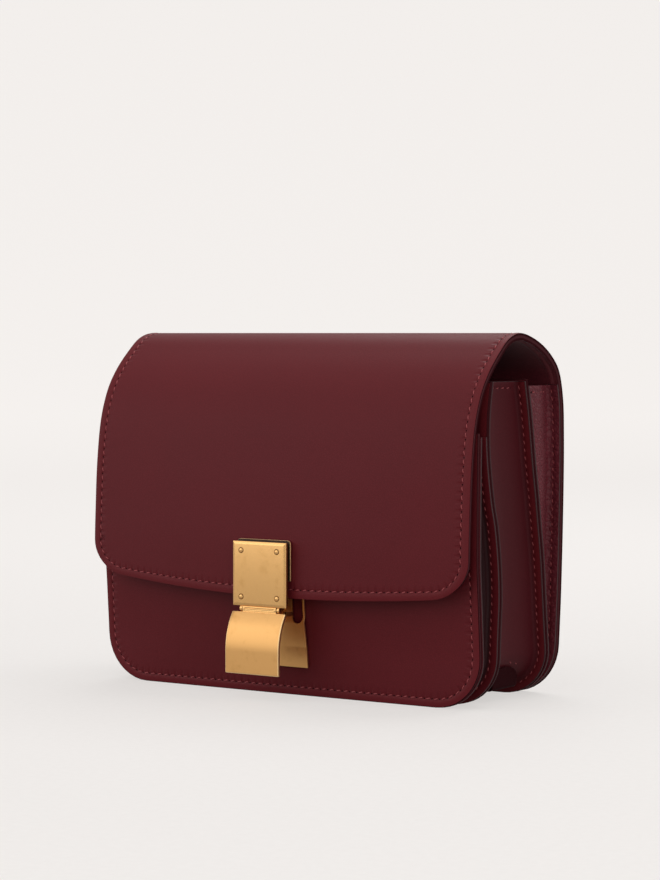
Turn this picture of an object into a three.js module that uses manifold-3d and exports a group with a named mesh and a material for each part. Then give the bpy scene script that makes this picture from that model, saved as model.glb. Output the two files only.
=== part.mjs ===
// A small box bag in smooth calf leather: three compartments in an accordion of
// panels and gussets, a back that runs over the top into a full front flap, and a
// brass pinch clasp with a sprung front leaf.
// Millimetres, +Z up, +X to the right of the bag as seen from its front, front towards -Y.
// While it is built, y = 0 is the foot of the front panel; the last lines centre the bag.

import * as THREE from 'three';
import { mergeVertices } from 'three/addons/utils/BufferGeometryUtils.js';
import Module from 'manifold-3d';

const wasm = await Module();
wasm.setup();

// Overall sizes
const BAG_WIDTH = 200;
const BAG_HEIGHT = 160;
const BAG_DEPTH = 72.3;

// Leather walls, and the gap that stands for each glue line
const COVER_WALL = 3;
const PANEL_WALL = 2;
const DIVIDER_WALL = 1.2;
const GUSSET_WALL = 1;
const GAP = 0.3;

// Outline of the panels and the flap
const CORNER_RADIUS = 22;
const FLAP_CORNER_RADIUS = 17;
const FLAP_FOOT = 44.6;
const FLAP_SAG = 5.8;
const FLAP_BOW = 5.4;
const PANEL_BOW = 3.8;
const SAG_REACH = 60;

// How far the tops of the pieces lie below the top of the bag
const FRONT_PANEL_DROP = 42;
const FRONT_GUSSET_DROP = 44;
const MIDDLE_DROP = 20.8;
const BACK_DIVIDER_DROP = 20;
const BACK_GUSSET_DROP = 23;

// Gussets: how far the web stands in from the panels' edges, its folds, and the most of the
// space between two panels that a fold's radius and a tuck may take
const GUSSET_INSET = 5.4;
const FOLD_RADIUS = 2;
const TUCK_DEPTH = 6;
const FOLD_SHARE = 0.42;
const TUCK_SHARE = 0.45;

// Clasp plate, its body and its backing plate on the flap
const CLASP_WIDTH = 28.3;
const PLATE_HEIGHT = 28.4;
const PLATE_WALL = 1.6;
const PLATE_BEVEL = 0.6;
const PLATE_CORNER = 1.2;
const PLATE_OVERHANG = 4;
const BODY_WIDTH = 26.4;
const BODY_DEPTH = 1.9;
const BODY_TOP_SETBACK = 1.6;
const BODY_FOOT_SETBACK = 1.8;
const BACKING_HEIGHT = 17.6;
const BACKING_WALL = 0.9;
const BACKING_RISE = 0.8;
const BACKING_CORNER = 1.6;
const RIVET_RADIUS = 1.15;
const RIVET_RISE = 0.55;
const RIVET_SPACING_X = 19;
const RIVET_SPACING_Z = 20.4;

// Hinge of the front leaf
const KNUCKLE_RADIUS = 1.5;
const PIN_RADIUS = 0.6;
const RUNNING_GAP = 0.25;
const LUG_WIDTH = 1.3;
const LUG_FRONT = 0.9;
const BARREL_LENGTH = 21;
const AXIS_DROP = 1.3;
const AXIS_SETBACK = 1.7;

// Front leaf of the clasp and its hook
const LEAF_WALL = 1.6;
const LEAF_LENGTH = 26.8;
const LEAF_TOP_DROP = 2.4;
const LEAF_RADIUS = 29;
const LEAF_SWEEP = 36;
const HOOK_WIDTH = 12.8;
const HOOK_REACH = 10.1;
const HOOK_WALL = 1.1;
const HOOK_TIP_WALL = 1.4;
const HOOK_TIP_DROP = 2;

// Catch plate on the front panel
const CATCH_WALL = 1.2;
const CATCH_FOOT = 12.9;
const CATCH_TOP = 56;
const CATCH_NECK = 15.6;
const CATCH_STRIP = 0.9;
const WINDOW_FOOT = 32.6;
const WINDOW_TOP = 50;
const KEEPER_WALL = 1.5;
const KEEPER_HEIGHT = 2;
const KEEPER_CLEARANCE = 0.4;
const CHEEK_WALL = 0.9;

// How finely the pieces are divided
const CORNER_STEPS = 5;
const SIDE_STEP = 17;
const FOOT_STEPS = 4;
const PANEL_COLUMNS = 11;
const COVER_COLUMNS = 13;
const ARCH_STEP = 6.5;
const CURVE_DIVISIONS = 600;
const SEARCH_STEPS = 2400;
const ARC_SEGMENTS = 20;
const DOME_SEGMENTS = 12;
const DOME_STEPS = [0.5, 0.8];
const ROUND_STEPS = 6;
const LEAF_STEPS = 8;
const CATCH_ROWS = 8;
const CATCH_COLUMNS = 5;

// Inside line of the cover from the foot of the back, over the top, to the flap's foot:
// y as a share of the inner depth, z as a share of the inner height.
const COVER_LINE = [
  { y: 0.928, z: 0 },
  { y: 0.938, z: 0.102 },
  { y: 0.97, z: 0.288 },
  { y: 0.997, z: 0.573 },
  { y: 1, z: 0.732 },
  { y: 0.987, z: 0.831 },
  { y: 0.937, z: 0.904 },
  { y: 0.853, z: 0.94 },
  { y: 0.74, z: 0.969 },
  { y: 0.6, z: 0.991 },
  { y: 0.475, z: 1 },
  { y: 0.355, z: 0.987 },
  { y: 0.24, z: 0.95 },
  { y: 0.126, z: 0.903 },
  { y: 0.046, z: 0.857 },
  { y: -0.007, z: 0.808 },
  { y: -0.046, z: 0.75 },
  { y: -0.081, z: 0.638 },
  { y: -0.099, z: 0.508 },
  { y: -0.108, z: 0.407 },
  { y: -0.11, z: 0.24 },
];

// How much of its full bow the flap has, by height as a share of the bag's height
const FLAP_CROWN = [
  { z: 0.24, bow: 1 },
  { z: 0.42, bow: 0.97 },
  { z: 0.52, bow: 0.86 },
  { z: 0.64, bow: 0.64 },
  { z: 0.73, bow: 0.46 },
  { z: 0.82, bow: 0.26 },
  { z: 0.92, bow: 0.08 },
  { z: 1, bow: 0 },
];

// The accordion by height, as shares of the bag's height and depth: the front panel's lean,
// its bow, and the clear depth of the front and the middle compartment at the side.
const ACCORDION = [
  { z: 0, lean: 0, bow: 0.2, front: 0.142, middle: 0.556 },
  { z: 0.09, lean: -0.003, bow: 0.58, front: 0.141, middle: 0.545 },
  { z: 0.14, lean: -0.006, bow: 0.72, front: 0.143, middle: 0.53 },
  { z: 0.23, lean: -0.019, bow: 0.9, front: 0.168, middle: 0.495 },
  { z: 0.29, lean: -0.028, bow: 0.98, front: 0.186, middle: 0.473 },
  { z: 0.38, lean: -0.042, bow: 1, front: 0.189, middle: 0.463 },
  { z: 0.48, lean: -0.043, bow: 0.98, front: 0.154, middle: 0.461 },
  { z: 0.55, lean: -0.042, bow: 0.9, front: 0.107, middle: 0.481 },
  { z: 0.65, lean: -0.039, bow: 0.66, front: 0.061, middle: 0.481 },
  { z: 0.72, lean: -0.035, bow: 0.45, front: 0.043, middle: 0.47 },
  { z: 0.79, lean: -0.03, bow: 0.3, front: 0.045, middle: 0.435 },
  { z: 0.86, lean: -0.025, bow: 0.2, front: 0.068, middle: 0.373 },
  { z: 0.89, lean: -0.023, bow: 0.2, front: 0.08, middle: 0.35 },
];

// How far each gusset's web folds inwards across its width, as a share of the tuck depth
const WEB_FOLDS = [
  { across: 0, front: 0, middle: 0, back: 0 },
  { across: 0.25, front: 0.6, middle: 0.42, back: -0.08 },
  { across: 0.5, front: 1, middle: 0.46, back: -0.14 },
  { across: 0.75, front: 0.6, middle: 0.26, back: -0.1 },
  { across: 1, front: 0, middle: 0, back: 0 },
];

// Finishes
const SMOOTH_CALF = { color: 0x5a2428, roughness: 0.42, metalness: 0 };
const LINING_CALF = { color: 0x4a1d22, roughness: 0.5, metalness: 0 };
const GRAINED_CALF = { color: 0x552229, roughness: 0.55, metalness: 0 };
const GOLD_BRASS = { color: 0xe3b36e, roughness: 0.25, metalness: 1 };

// Reads one column of a table at a height or place, on a smooth line through its rows
function along(table, key, column, place) {
  const last = table.length - 2;
  let row = 0;
  while (row < last && place > table[row + 1][key]) row++;
  const slope = (a, b) => (table[b][column] - table[a][column]) / (table[b][key] - table[a][key]);
  const width = table[row + 1][key] - table[row][key];
  const share = (place - table[row][key]) / width;
  const slopeIn = slope(Math.max(row - 1, 0), row + 1) * width;
  const slopeOut = slope(row, Math.min(row + 2, table.length - 1)) * width;
  const cube = share ** 3;
  const square = share ** 2;
  return (2 * cube - 3 * square + 1) * table[row][column]
    + (cube - 2 * square + share) * slopeIn
    + (3 * square - 2 * cube) * table[row + 1][column]
    + (cube - square) * slopeOut;
}

const byHeight = (column, z) => along(ACCORDION, 'z', column, z / BAG_HEIGHT);

// One in the middle of the bag's width and none at its sides
const crown = (x) => 1 - (2 * x / BAG_WIDTH) ** 2;

// Faces of the accordion, from front to back
const FLANGE = GAP + GUSSET_WALL;
const frontPanelEdge = (z) => BAG_DEPTH * byHeight('lean', z);
const frontPanelFace = (x, z) => frontPanelEdge(z) - PANEL_BOW * byHeight('bow', z) * crown(x);
const frontPanelBack = (x, z) => frontPanelFace(x, z) + PANEL_WALL;
const frontDividerFace = (z) =>
  frontPanelEdge(z) + PANEL_WALL + BAG_DEPTH * byHeight('front', z) + 2 * FLANGE;
const frontDividerBack = (z) => frontDividerFace(z) + DIVIDER_WALL;
const backDividerFace = (z) => frontDividerBack(z) + BAG_DEPTH * byHeight('middle', z) + 2 * FLANGE;
const backDividerBack = (z) => backDividerFace(z) + DIVIDER_WALL;

// The cover's inside line as a curve
const INNER_DEPTH = BAG_DEPTH - COVER_WALL;
const INNER_HEIGHT = BAG_HEIGHT - COVER_WALL;
const coverCurve = new THREE.CatmullRomCurve3(
  COVER_LINE.map((row) => new THREE.Vector3(0, row.y * INNER_DEPTH, row.z * INNER_HEIGHT)),
  false,
  'centripetal',
);
coverCurve.arcLengthDivisions = CURVE_DIVISIONS;
const coverCurveLength = coverCurve.getLength();

// Length along the cover's curve where it reaches a height, searched from one of its ends
function coverLengthAt(height, fromFlap) {
  for (let step = 0; step <= SEARCH_STEPS; step++) {
    const share = fromFlap ? 1 - step / SEARCH_STEPS : step / SEARCH_STEPS;
    if (coverCurve.getPointAt(share).z >= height) return share * coverCurveLength;
  }
  return fromFlap ? 0 : coverCurveLength;
}

const coverLength = coverLengthAt(FLAP_FOOT, true);

// A point of the cover: x, length along the curve, and the distance out from the inside line
function coverPoint(x, length, out) {
  const share = Math.min(Math.max(length / coverCurveLength, 0), 1);
  const point = coverCurve.getPointAt(share);
  const tangent = coverCurve.getTangentAt(share);
  const onFlap = length > coverCurveLength / 2;
  const bow = onFlap ? FLAP_BOW * along(FLAP_CROWN, 'z', 'bow', point.z / BAG_HEIGHT) : 0;
  const y = point.y + out * tangent.z - bow * crown(x);
  return [x, y, Math.max(point.z - out * tangent.y, 0)];
}

// The cover's inner face behind the bag, and the flap's outer face on the centre line
const coverBackFace = (z) => coverPoint(0, coverLengthAt(z, false), 0)[1];
const flapFace = (z) => coverPoint(0, coverLengthAt(z, true), COVER_WALL)[1];

// Turns a geometry's triangles round if they face inwards
function facingOut(geometry) {
  const position = geometry.getAttribute('position');
  const index = geometry.index.array;
  const [a, b, c] = [new THREE.Vector3(), new THREE.Vector3(), new THREE.Vector3()];
  let volume = 0;
  for (let corner = 0; corner < index.length; corner += 3) {
    a.fromBufferAttribute(position, index[corner]);
    b.fromBufferAttribute(position, index[corner + 1]);
    c.fromBufferAttribute(position, index[corner + 2]);
    volume += a.dot(b.cross(c));
  }
  if (volume < 0) {
    for (let corner = 0; corner < index.length; corner += 3) {
      [index[corner], index[corner + 1]] = [index[corner + 1], index[corner]];
    }
  }
  return geometry;
}

// A closed wall between two surfaces, each given as a point for a row and a column
function wallBetween(rowCount, columnCount, outerPoint, innerPoint) {
  const positions = [];
  const index = [];
  for (const point of [outerPoint, innerPoint]) {
    for (let row = 0; row < rowCount; row++) {
      for (let column = 0; column < columnCount; column++) positions.push(...point(row, column));
    }
  }
  const at = (side, row, column) => (side * rowCount + row) * columnCount + column;
  const quad = (a, b, c, d) => index.push(a, b, c, a, c, d);
  const [lastRow, lastColumn] = [rowCount - 1, columnCount - 1];
  for (let row = 0; row < lastRow; row++) {
    for (let column = 0; column < lastColumn; column++) {
      quad(at(0, row, column), at(0, row, column + 1), at(0, row + 1, column + 1), at(0, row + 1, column));
      quad(at(1, row, column), at(1, row + 1, column), at(1, row + 1, column + 1), at(1, row, column + 1));
    }
    quad(at(0, row, 0), at(0, row + 1, 0), at(1, row + 1, 0), at(1, row, 0));
    quad(at(0, row + 1, lastColumn), at(0, row, lastColumn), at(1, row, lastColumn), at(1, row + 1, lastColumn));
  }
  for (let column = 0; column < lastColumn; column++) {
    quad(at(0, 0, column + 1), at(0, 0, column), at(1, 0, column), at(1, 0, column + 1));
    quad(at(0, lastRow, column), at(0, lastRow, column + 1), at(1, lastRow, column + 1), at(1, lastRow, column));
  }
  const geometry = new THREE.BufferGeometry();
  geometry.setAttribute('position', new THREE.Float32BufferAttribute(positions, 3));
  geometry.setIndex(index);
  return facingOut(geometry);
}

// Joining and cutting
function asSolid(geometry) {
  const bare = geometry.clone();
  for (const name of Object.keys(bare.attributes)) {
    if (name !== 'position') bare.deleteAttribute(name);
  }
  const merged = mergeVertices(bare, 1e-4);
  return new wasm.Manifold(new wasm.Mesh({
    numProp: 3,
    vertProperties: new Float32Array(merged.getAttribute('position').array),
    triVerts: new Uint32Array(merged.index.array),
  }));
}

function asGeometry(solid) {
  const mesh = solid.getMesh();
  const geometry = new THREE.BufferGeometry();
  geometry.setAttribute('position', new THREE.Float32BufferAttribute(mesh.vertProperties, 3));
  geometry.setIndex(Array.from(mesh.triVerts));
  return geometry;
}

const joined = (...geometries) => asGeometry(
  geometries.map(asSolid).reduce((all, one) => all.add(one)),
);
const cut = (geometry, ...tools) => asGeometry(
  tools.map(asSolid).reduce((left, tool) => left.subtract(tool), asSolid(geometry)),
);

// A block between two corners
function block(low, high) {
  const size = high.map((value, axis) => value - low[axis]);
  const geometry = new THREE.BoxGeometry(...size);
  return geometry.translate(...low.map((value, axis) => value + size[axis] / 2));
}

// A rod along X, centred on x = centre
function rod(radius, length, centre, y, z) {
  const geometry = new THREE.CylinderGeometry(radius, radius, length, ARC_SEGMENTS);
  return geometry.rotateZ(Math.PI / 2).translate(centre, y, z);
}

// An outline in x and z, made into a plate from y = back towards the front
function plateAlongY(shape, back, wall, bevel = 0) {
  const geometry = new THREE.ExtrudeGeometry(shape, {
    depth: wall - 2 * bevel,
    bevelEnabled: bevel > 0,
    bevelThickness: bevel,
    bevelSize: bevel,
    bevelOffset: -bevel,
    bevelSegments: 1,
    curveSegments: ROUND_STEPS,
  });
  return geometry.rotateX(Math.PI / 2).translate(0, back - bevel, 0);
}

// An outline in y and z, drawn out to both sides along X
function barAlongX(outline, width) {
  const shape = new THREE.Shape(outline.map(([y, z]) => new THREE.Vector2(y, z)));
  const geometry = new THREE.ExtrudeGeometry(shape, { depth: width, bevelEnabled: false });
  const turn = new THREE.Matrix4().makeBasis(
    new THREE.Vector3(0, 1, 0),
    new THREE.Vector3(0, 0, 1),
    new THREE.Vector3(1, 0, 0),
  );
  return geometry.applyMatrix4(turn).translate(-width / 2, 0, 0);
}

// Half the width of a panel at a distance from its end, where its corners are round
function halfWidth(rise, radius) {
  const left = Math.max(radius - rise, 0);
  return BAG_WIDTH / 2 - radius + Math.sqrt(Math.max(radius ** 2 - left ** 2, 0));
}

const cornerAngles = Array.from({ length: CORNER_STEPS }, (_, step) => step * Math.PI / 2 / CORNER_STEPS);

// Heights of a panel's rows from its foot to its top, close together round the corners
function panelHeights(top) {
  const heights = cornerAngles.map((angle) => CORNER_RADIUS * (1 - Math.cos(angle)));
  const steps = Math.round((top - CORNER_RADIUS) / SIDE_STEP);
  for (let step = 0; step <= steps; step++) {
    heights.push(CORNER_RADIUS + (top - CORNER_RADIUS) * step / steps);
  }
  return heights;
}

// A panel with round lower corners between two faces
function panel(top, front, back) {
  const heights = panelHeights(top);
  const point = (face) => (row, column) => {
    const z = heights[row];
    const share = 2 * column / (PANEL_COLUMNS - 1) - 1;
    const x = share * halfWidth(z, CORNER_RADIUS);
    return [x, face(x, z), z];
  };
  return wallBetween(heights.length, PANEL_COLUMNS, point(front), point(back));
}

// Steps down the left side, along the foot and up the right side of a panel's outline,
// each with its place and the direction into the panel
function outlineSteps(top) {
  const heights = panelHeights(top);
  const sides = heights.slice(CORNER_STEPS).reverse();
  const steps = sides.map((z) => ({ x: -BAG_WIDTH / 2, z, inX: 1, inZ: 0 }));
  for (const angle of [...cornerAngles].reverse()) {
    const [inX, inZ] = [Math.sin(angle), Math.cos(angle)];
    steps.push({
      x: -BAG_WIDTH / 2 + CORNER_RADIUS * (1 - inX),
      z: CORNER_RADIUS * (1 - inZ),
      inX,
      inZ,
    });
  }
  const mirrored = steps.map((step) => ({ ...step, x: -step.x, inX: -step.inX })).reverse();
  const start = -BAG_WIDTH / 2 + CORNER_RADIUS;
  const foot = [];
  for (let step = 1; step < FOOT_STEPS; step++) {
    foot.push({ x: start * (1 - 2 * step / FOOT_STEPS), z: 0, inX: 0, inZ: 1 });
  }
  return [...steps, ...foot, ...mirrored];
}

// The outer side of a gusset's section as [distance in, distance back] pairs
function gussetSection(space, folds) {
  const radius = Math.min(FOLD_RADIUS, FOLD_SHARE * space);
  const depth = Math.min(TUCK_DEPTH, TUCK_SHARE * space);
  const turn = (share) => [
    GUSSET_INSET - radius * (1 - Math.sin(share * Math.PI / 2)),
    radius * (1 - Math.cos(share * Math.PI / 2)),
  ];
  const frontHalf = [[0, 0], turn(0), turn(0.5), turn(1)];
  const backHalf = frontHalf.map(([inwards, back]) => [inwards, space - back]).reverse();
  const web = WEB_FOLDS.slice(1, -1).map((row) => [
    GUSSET_INSET + depth * row[folds],
    radius + (space - 2 * radius) * row.across,
  ]);
  return [...frontHalf, ...web, ...backHalf];
}

// The same line moved sideways by the gusset's wall, with mitred corners
function offsetLine(line, wall) {
  const normal = (from, to) => {
    const length = Math.hypot(to[0] - from[0], to[1] - from[1]);
    return [(to[1] - from[1]) / length, -(to[0] - from[0]) / length];
  };
  return line.map((point, place) => {
    const before = normal(line[Math.max(place - 1, 0)], line[Math.max(place, 1)]);
    const after = normal(line[Math.min(place, line.length - 2)], line[Math.min(place + 1, line.length - 1)]);
    const share = wall / (1 + before[0] * after[0] + before[1] * after[1]);
    return [point[0] + share * (before[0] + after[0]), point[1] + share * (before[1] + after[1])];
  });
}

// A U-shaped gusset between the back of one panel and the front of the next
function gusset(top, folds, panelBack, panelFront) {
  const steps = outlineSteps(top);
  const lines = steps.map((step) => {
    const space = panelFront(step.x, step.z) - panelBack(step.x, step.z) - 2 * FLANGE;
    const outer = gussetSection(space, folds);
    return { space, outer, inner: offsetLine(outer, GUSSET_WALL) };
  });
  const point = (side) => (row, column) => {
    const step = steps[row];
    const [inwards, back] = lines[row][side][column];
    const x = step.x + inwards * step.inX;
    const z = step.z + inwards * step.inZ;
    const frontLine = panelBack(x, z) + FLANGE;
    const backLine = panelFront(x, z) - FLANGE;
    const { space } = lines[row];
    if (back <= 0) return [x, frontLine + back, z];
    if (back >= space) return [x, backLine + back - space, z];
    return [x, frontLine + (backLine - frontLine) * back / space, z];
  };
  return wallBetween(steps.length, lines[0].outer.length, point('outer'), point('inner'));
}

// Rows of the cover: close together round its corners and over the arch
function coverRows() {
  const footRows = cornerAngles.map((angle) => CORNER_RADIUS * (1 - Math.cos(angle)));
  const flapRows = cornerAngles.map((angle) => coverLength - FLAP_CORNER_RADIUS * (1 - Math.cos(angle)));
  const rows = [...footRows];
  const archStart = coverLengthAt(BAG_HEIGHT - FRONT_PANEL_DROP, false);
  const archEnd = coverLengthAt(BAG_HEIGHT - FRONT_PANEL_DROP, true);
  const stretch = (from, to, step) => {
    const count = Math.ceil((to - from) / step);
    for (let part = 0; part < count; part++) rows.push(from + (to - from) * part / count);
  };
  stretch(CORNER_RADIUS, archStart, SIDE_STEP);
  stretch(archStart, archEnd, ARCH_STEP);
  stretch(archEnd, coverLength - FLAP_CORNER_RADIUS, SIDE_STEP);
  return [...rows, coverLength - FLAP_CORNER_RADIUS, ...flapRows.reverse()];
}

// Back, top and flap in one piece: the flap's foot hangs lowest in the middle
function cover() {
  const rows = coverRows();
  const point = (out) => (row, column) => {
    const length = rows[row];
    const share = 2 * column / (COVER_COLUMNS - 1) - 1;
    const half = Math.min(
      halfWidth(length, CORNER_RADIUS),
      halfWidth(coverLength - length, FLAP_CORNER_RADIUS),
    );
    const x = share * half;
    const reach = Math.max(length - coverLength + SAG_REACH, 0) / SAG_REACH;
    return coverPoint(x, length - FLAP_SAG * (1 - crown(x)) * reach ** 2, out);
  };
  return wallBetween(rows.length, COVER_COLUMNS, point(COVER_WALL), point(0));
}

// A rectangle in x and z with round upper corners
function roundTopped(width, low, high, radius) {
  const shape = new THREE.Shape();
  shape.moveTo(-width / 2, low);
  shape.lineTo(width / 2, low);
  shape.lineTo(width / 2, high - radius);
  shape.absarc(width / 2 - radius, high - radius, radius, 0, Math.PI / 2, false);
  shape.lineTo(-width / 2 + radius, high);
  shape.absarc(-width / 2 + radius, high - radius, radius, Math.PI / 2, Math.PI, false);
  return shape;
}

// Where the parts of the clasp lie
const plateFoot = FLAP_FOOT - PLATE_OVERHANG;
const plateTop = plateFoot + PLATE_HEIGHT;
const backingTop = plateTop + BACKING_RISE;
const backingFoot = backingTop - BACKING_HEIGHT;
const backingSeat = Math.min(flapFace(backingFoot), flapFace(backingTop)) - GAP;
const bodySeat = backingSeat - BACKING_WALL - GAP;
const plateBack = bodySeat - BODY_DEPTH;
const plateFace = plateBack - PLATE_WALL;
const axisY = plateFace + AXIS_SETBACK;
const axisZ = plateFoot - AXIS_DROP;
const sleeveLength = BARREL_LENGTH - 2 * LUG_WIDTH - 2 * GAP;
const lugCentre = BARREL_LENGTH / 2 - LUG_WIDTH / 2;
const bothSides = [-1, 1];

// Thin plate that lies on the flap behind the clasp
function backingPlate() {
  const shape = roundTopped(CLASP_WIDTH, backingFoot, backingTop, BACKING_CORNER);
  return plateAlongY(shape, backingSeat, BACKING_WALL);
}

// Bevelled front plate on its body, with two lugs below for the hinge pin
function frontPlate() {
  const outline = roundTopped(CLASP_WIDTH, plateFoot, plateTop, PLATE_CORNER);
  const plate = plateAlongY(outline, plateBack, PLATE_WALL, PLATE_BEVEL);
  const body = block(
    [-BODY_WIDTH / 2, plateBack - PLATE_BEVEL, plateFoot + BODY_FOOT_SETBACK],
    [BODY_WIDTH / 2, bodySeat, plateTop - BODY_TOP_SETBACK],
  );
  const lugs = bothSides.map((side) => joined(
    rod(KNUCKLE_RADIUS, LUG_WIDTH, side * lugCentre, axisY, axisZ),
    block(
      [side * lugCentre - LUG_WIDTH / 2, axisY - LUG_FRONT, axisZ],
      [side * lugCentre + LUG_WIDTH / 2, axisY + KNUCKLE_RADIUS, plateFoot + BODY_FOOT_SETBACK + GAP],
    ),
  ));
  const room = rod(KNUCKLE_RADIUS + GAP, sleeveLength + 2 * GAP, 0, axisY, axisZ);
  const pinHole = rod(PIN_RADIUS + RUNNING_GAP, BARREL_LENGTH + GAP, 0, axisY, axisZ);
  return cut(joined(cut(joined(plate, body), room), ...lugs), pinHole);
}

// One domed rivet head on the front plate
function rivet(sideX, sideZ) {
  const dome = [new THREE.Vector2(0, 0), new THREE.Vector2(RIVET_RADIUS, 0)];
  for (const share of DOME_STEPS) {
    dome.push(new THREE.Vector2(RIVET_RADIUS * Math.sqrt(1 - share ** 2), RIVET_RISE * share));
  }
  dome.push(new THREE.Vector2(0, RIVET_RISE));
  const geometry = new THREE.LatheGeometry(dome, DOME_SEGMENTS);
  return geometry.rotateX(Math.PI).translate(
    sideX * RIVET_SPACING_X / 2,
    plateFace - GAP,
    (plateFoot + plateTop) / 2 + sideZ * RIVET_SPACING_Z / 2,
  );
}

// Section of the leaf: an arc that leaves the barrel forwards and ends hanging straight
function leafOutline() {
  const sweep = THREE.MathUtils.degToRad(LEAF_SWEEP);
  const top = plateFoot - LEAF_TOP_DROP;
  const straightFrom = top - LEAF_RADIUS * Math.sin(sweep);
  const faceLine = [];
  const backLine = [];
  const centreY = plateFace + LEAF_RADIUS * Math.cos(sweep);
  for (let step = 0; step <= LEAF_STEPS; step++) {
    const angle = sweep * (1 - step / LEAF_STEPS);
    faceLine.push([centreY - LEAF_RADIUS * Math.cos(angle), straightFrom + LEAF_RADIUS * Math.sin(angle)]);
    const inner = LEAF_RADIUS - LEAF_WALL;
    backLine.push([centreY - inner * Math.cos(angle), straightFrom + inner * Math.sin(angle)]);
  }
  const front = faceLine[LEAF_STEPS][0];
  const foot = top - LEAF_LENGTH;
  return [...faceLine, [front, foot], [front + LEAF_WALL, foot], ...backLine.reverse()];
}

// Front leaf with its sleeve on the pin and the hook that reaches back over the keeper
const hookFoot = axisZ - KNUCKLE_RADIUS + GAP;
const hookEnd = axisY + HOOK_REACH;
function lever() {
  const leaf = barAlongX(leafOutline(), CLASP_WIDTH);
  const sleeve = rod(KNUCKLE_RADIUS, sleeveLength, 0, axisY, axisZ);
  const web = block(
    [-sleeveLength / 2, plateFace + GAP, axisZ - KNUCKLE_RADIUS - GAP],
    [sleeveLength / 2, axisY, axisZ - PIN_RADIUS - RUNNING_GAP],
  );
  const arm = block(
    [-HOOK_WIDTH / 2, axisY, hookFoot],
    [HOOK_WIDTH / 2, hookEnd, hookFoot + HOOK_WALL],
  );
  const tip = block(
    [-HOOK_WIDTH / 2, hookEnd - HOOK_TIP_WALL, hookFoot - HOOK_TIP_DROP],
    [HOOK_WIDTH / 2, hookEnd, hookFoot + HOOK_WALL],
  );
  const lugRooms = bothSides.map((side) => rod(
    KNUCKLE_RADIUS + GAP,
    LUG_WIDTH + 2 * GAP,
    side * lugCentre,
    axisY,
    axisZ,
  ));
  const bore = rod(PIN_RADIUS + RUNNING_GAP, BARREL_LENGTH, 0, axisY, axisZ);
  return cut(joined(leaf, sleeve, web, arm, tip), ...lugRooms, bore);
}

// Catch plate on the front panel: a neck between two windows, and a keeper bar on cheeks
function catchPlate() {
  const point = (out) => (row, column) => {
    const x = CLASP_WIDTH * (column / (CATCH_COLUMNS - 1) - 0.5);
    const z = CATCH_FOOT + (CATCH_TOP - CATCH_FOOT) * row / (CATCH_ROWS - 1);
    return [x, frontPanelFace(x, z) - GAP - out, z];
  };
  const plate = wallBetween(CATCH_ROWS, CATCH_COLUMNS, point(CATCH_WALL), point(0));
  const windowLeft = CATCH_NECK / 2;
  const windowRight = CLASP_WIDTH / 2 - CATCH_STRIP;
  const windowRadius = (windowRight - windowLeft) / 2;
  const windows = bothSides.map((side) => {
    const centre = side * (windowLeft + windowRadius);
    const shape = new THREE.Shape();
    shape.moveTo(centre + windowRadius, WINDOW_FOOT + windowRadius);
    shape.lineTo(centre + windowRadius, WINDOW_TOP);
    shape.lineTo(centre - windowRadius, WINDOW_TOP);
    shape.lineTo(centre - windowRadius, WINDOW_FOOT + windowRadius);
    shape.absarc(centre, WINDOW_FOOT + windowRadius, windowRadius, Math.PI, 2 * Math.PI, false);
    return plateAlongY(shape, 0, BAG_DEPTH / 2);
  });
  const keeperTop = hookFoot - KEEPER_CLEARANCE;
  const keeperBack = hookEnd - HOOK_TIP_WALL - KEEPER_CLEARANCE;
  const seat = frontPanelFace(0, keeperTop) - GAP - CATCH_WALL / 2;
  const bar = block(
    [-CATCH_NECK / 2, keeperBack - KEEPER_WALL, keeperTop - KEEPER_HEIGHT],
    [CATCH_NECK / 2, keeperBack, keeperTop],
  );
  const cheeks = bothSides.map((side) => {
    const edges = [side * CATCH_NECK / 2, side * (CATCH_NECK / 2 - CHEEK_WALL)].sort((a, b) => a - b);
    return block(
      [edges[0], keeperBack - KEEPER_WALL, keeperTop - KEEPER_HEIGHT],
      [edges[1], seat, keeperTop],
    );
  });
  return joined(cut(plate, ...windows), bar, ...cheeks);
}

function piece(name, geometry, finish) {
  const faceted = geometry.index ? geometry.toNonIndexed() : geometry;
  faceted.computeVertexNormals();
  const mesh = new THREE.Mesh(faceted, new THREE.MeshStandardMaterial(finish));
  mesh.name = name;
  return mesh;
}

const frontPanelTop = BAG_HEIGHT - FRONT_PANEL_DROP;
const middleTop = BAG_HEIGHT - MIDDLE_DROP;

const leather = new THREE.Group();
leather.add(
  piece('flap_top_and_back', cover(), SMOOTH_CALF),
  piece('front_panel', panel(frontPanelTop, frontPanelFace, frontPanelBack), SMOOTH_CALF),
  piece('front_gusset', gusset(
    BAG_HEIGHT - FRONT_GUSSET_DROP,
    'front',
    frontPanelBack,
    (x, z) => frontDividerFace(z),
  ), LINING_CALF),
  piece('front_divider', panel(
    middleTop,
    (x, z) => frontDividerFace(z),
    (x, z) => frontDividerBack(z),
  ), SMOOTH_CALF),
  piece('middle_gusset', gusset(
    middleTop,
    'middle',
    (x, z) => frontDividerBack(z),
    (x, z) => backDividerFace(z),
  ), SMOOTH_CALF),
  piece('back_divider', panel(
    BAG_HEIGHT - BACK_DIVIDER_DROP,
    (x, z) => backDividerFace(z),
    (x, z) => backDividerBack(z),
  ), SMOOTH_CALF),
  piece('back_gusset', gusset(
    BAG_HEIGHT - BACK_GUSSET_DROP,
    'back',
    (x, z) => backDividerBack(z),
    (x, z) => coverBackFace(z),
  ), GRAINED_CALF),
);

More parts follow.
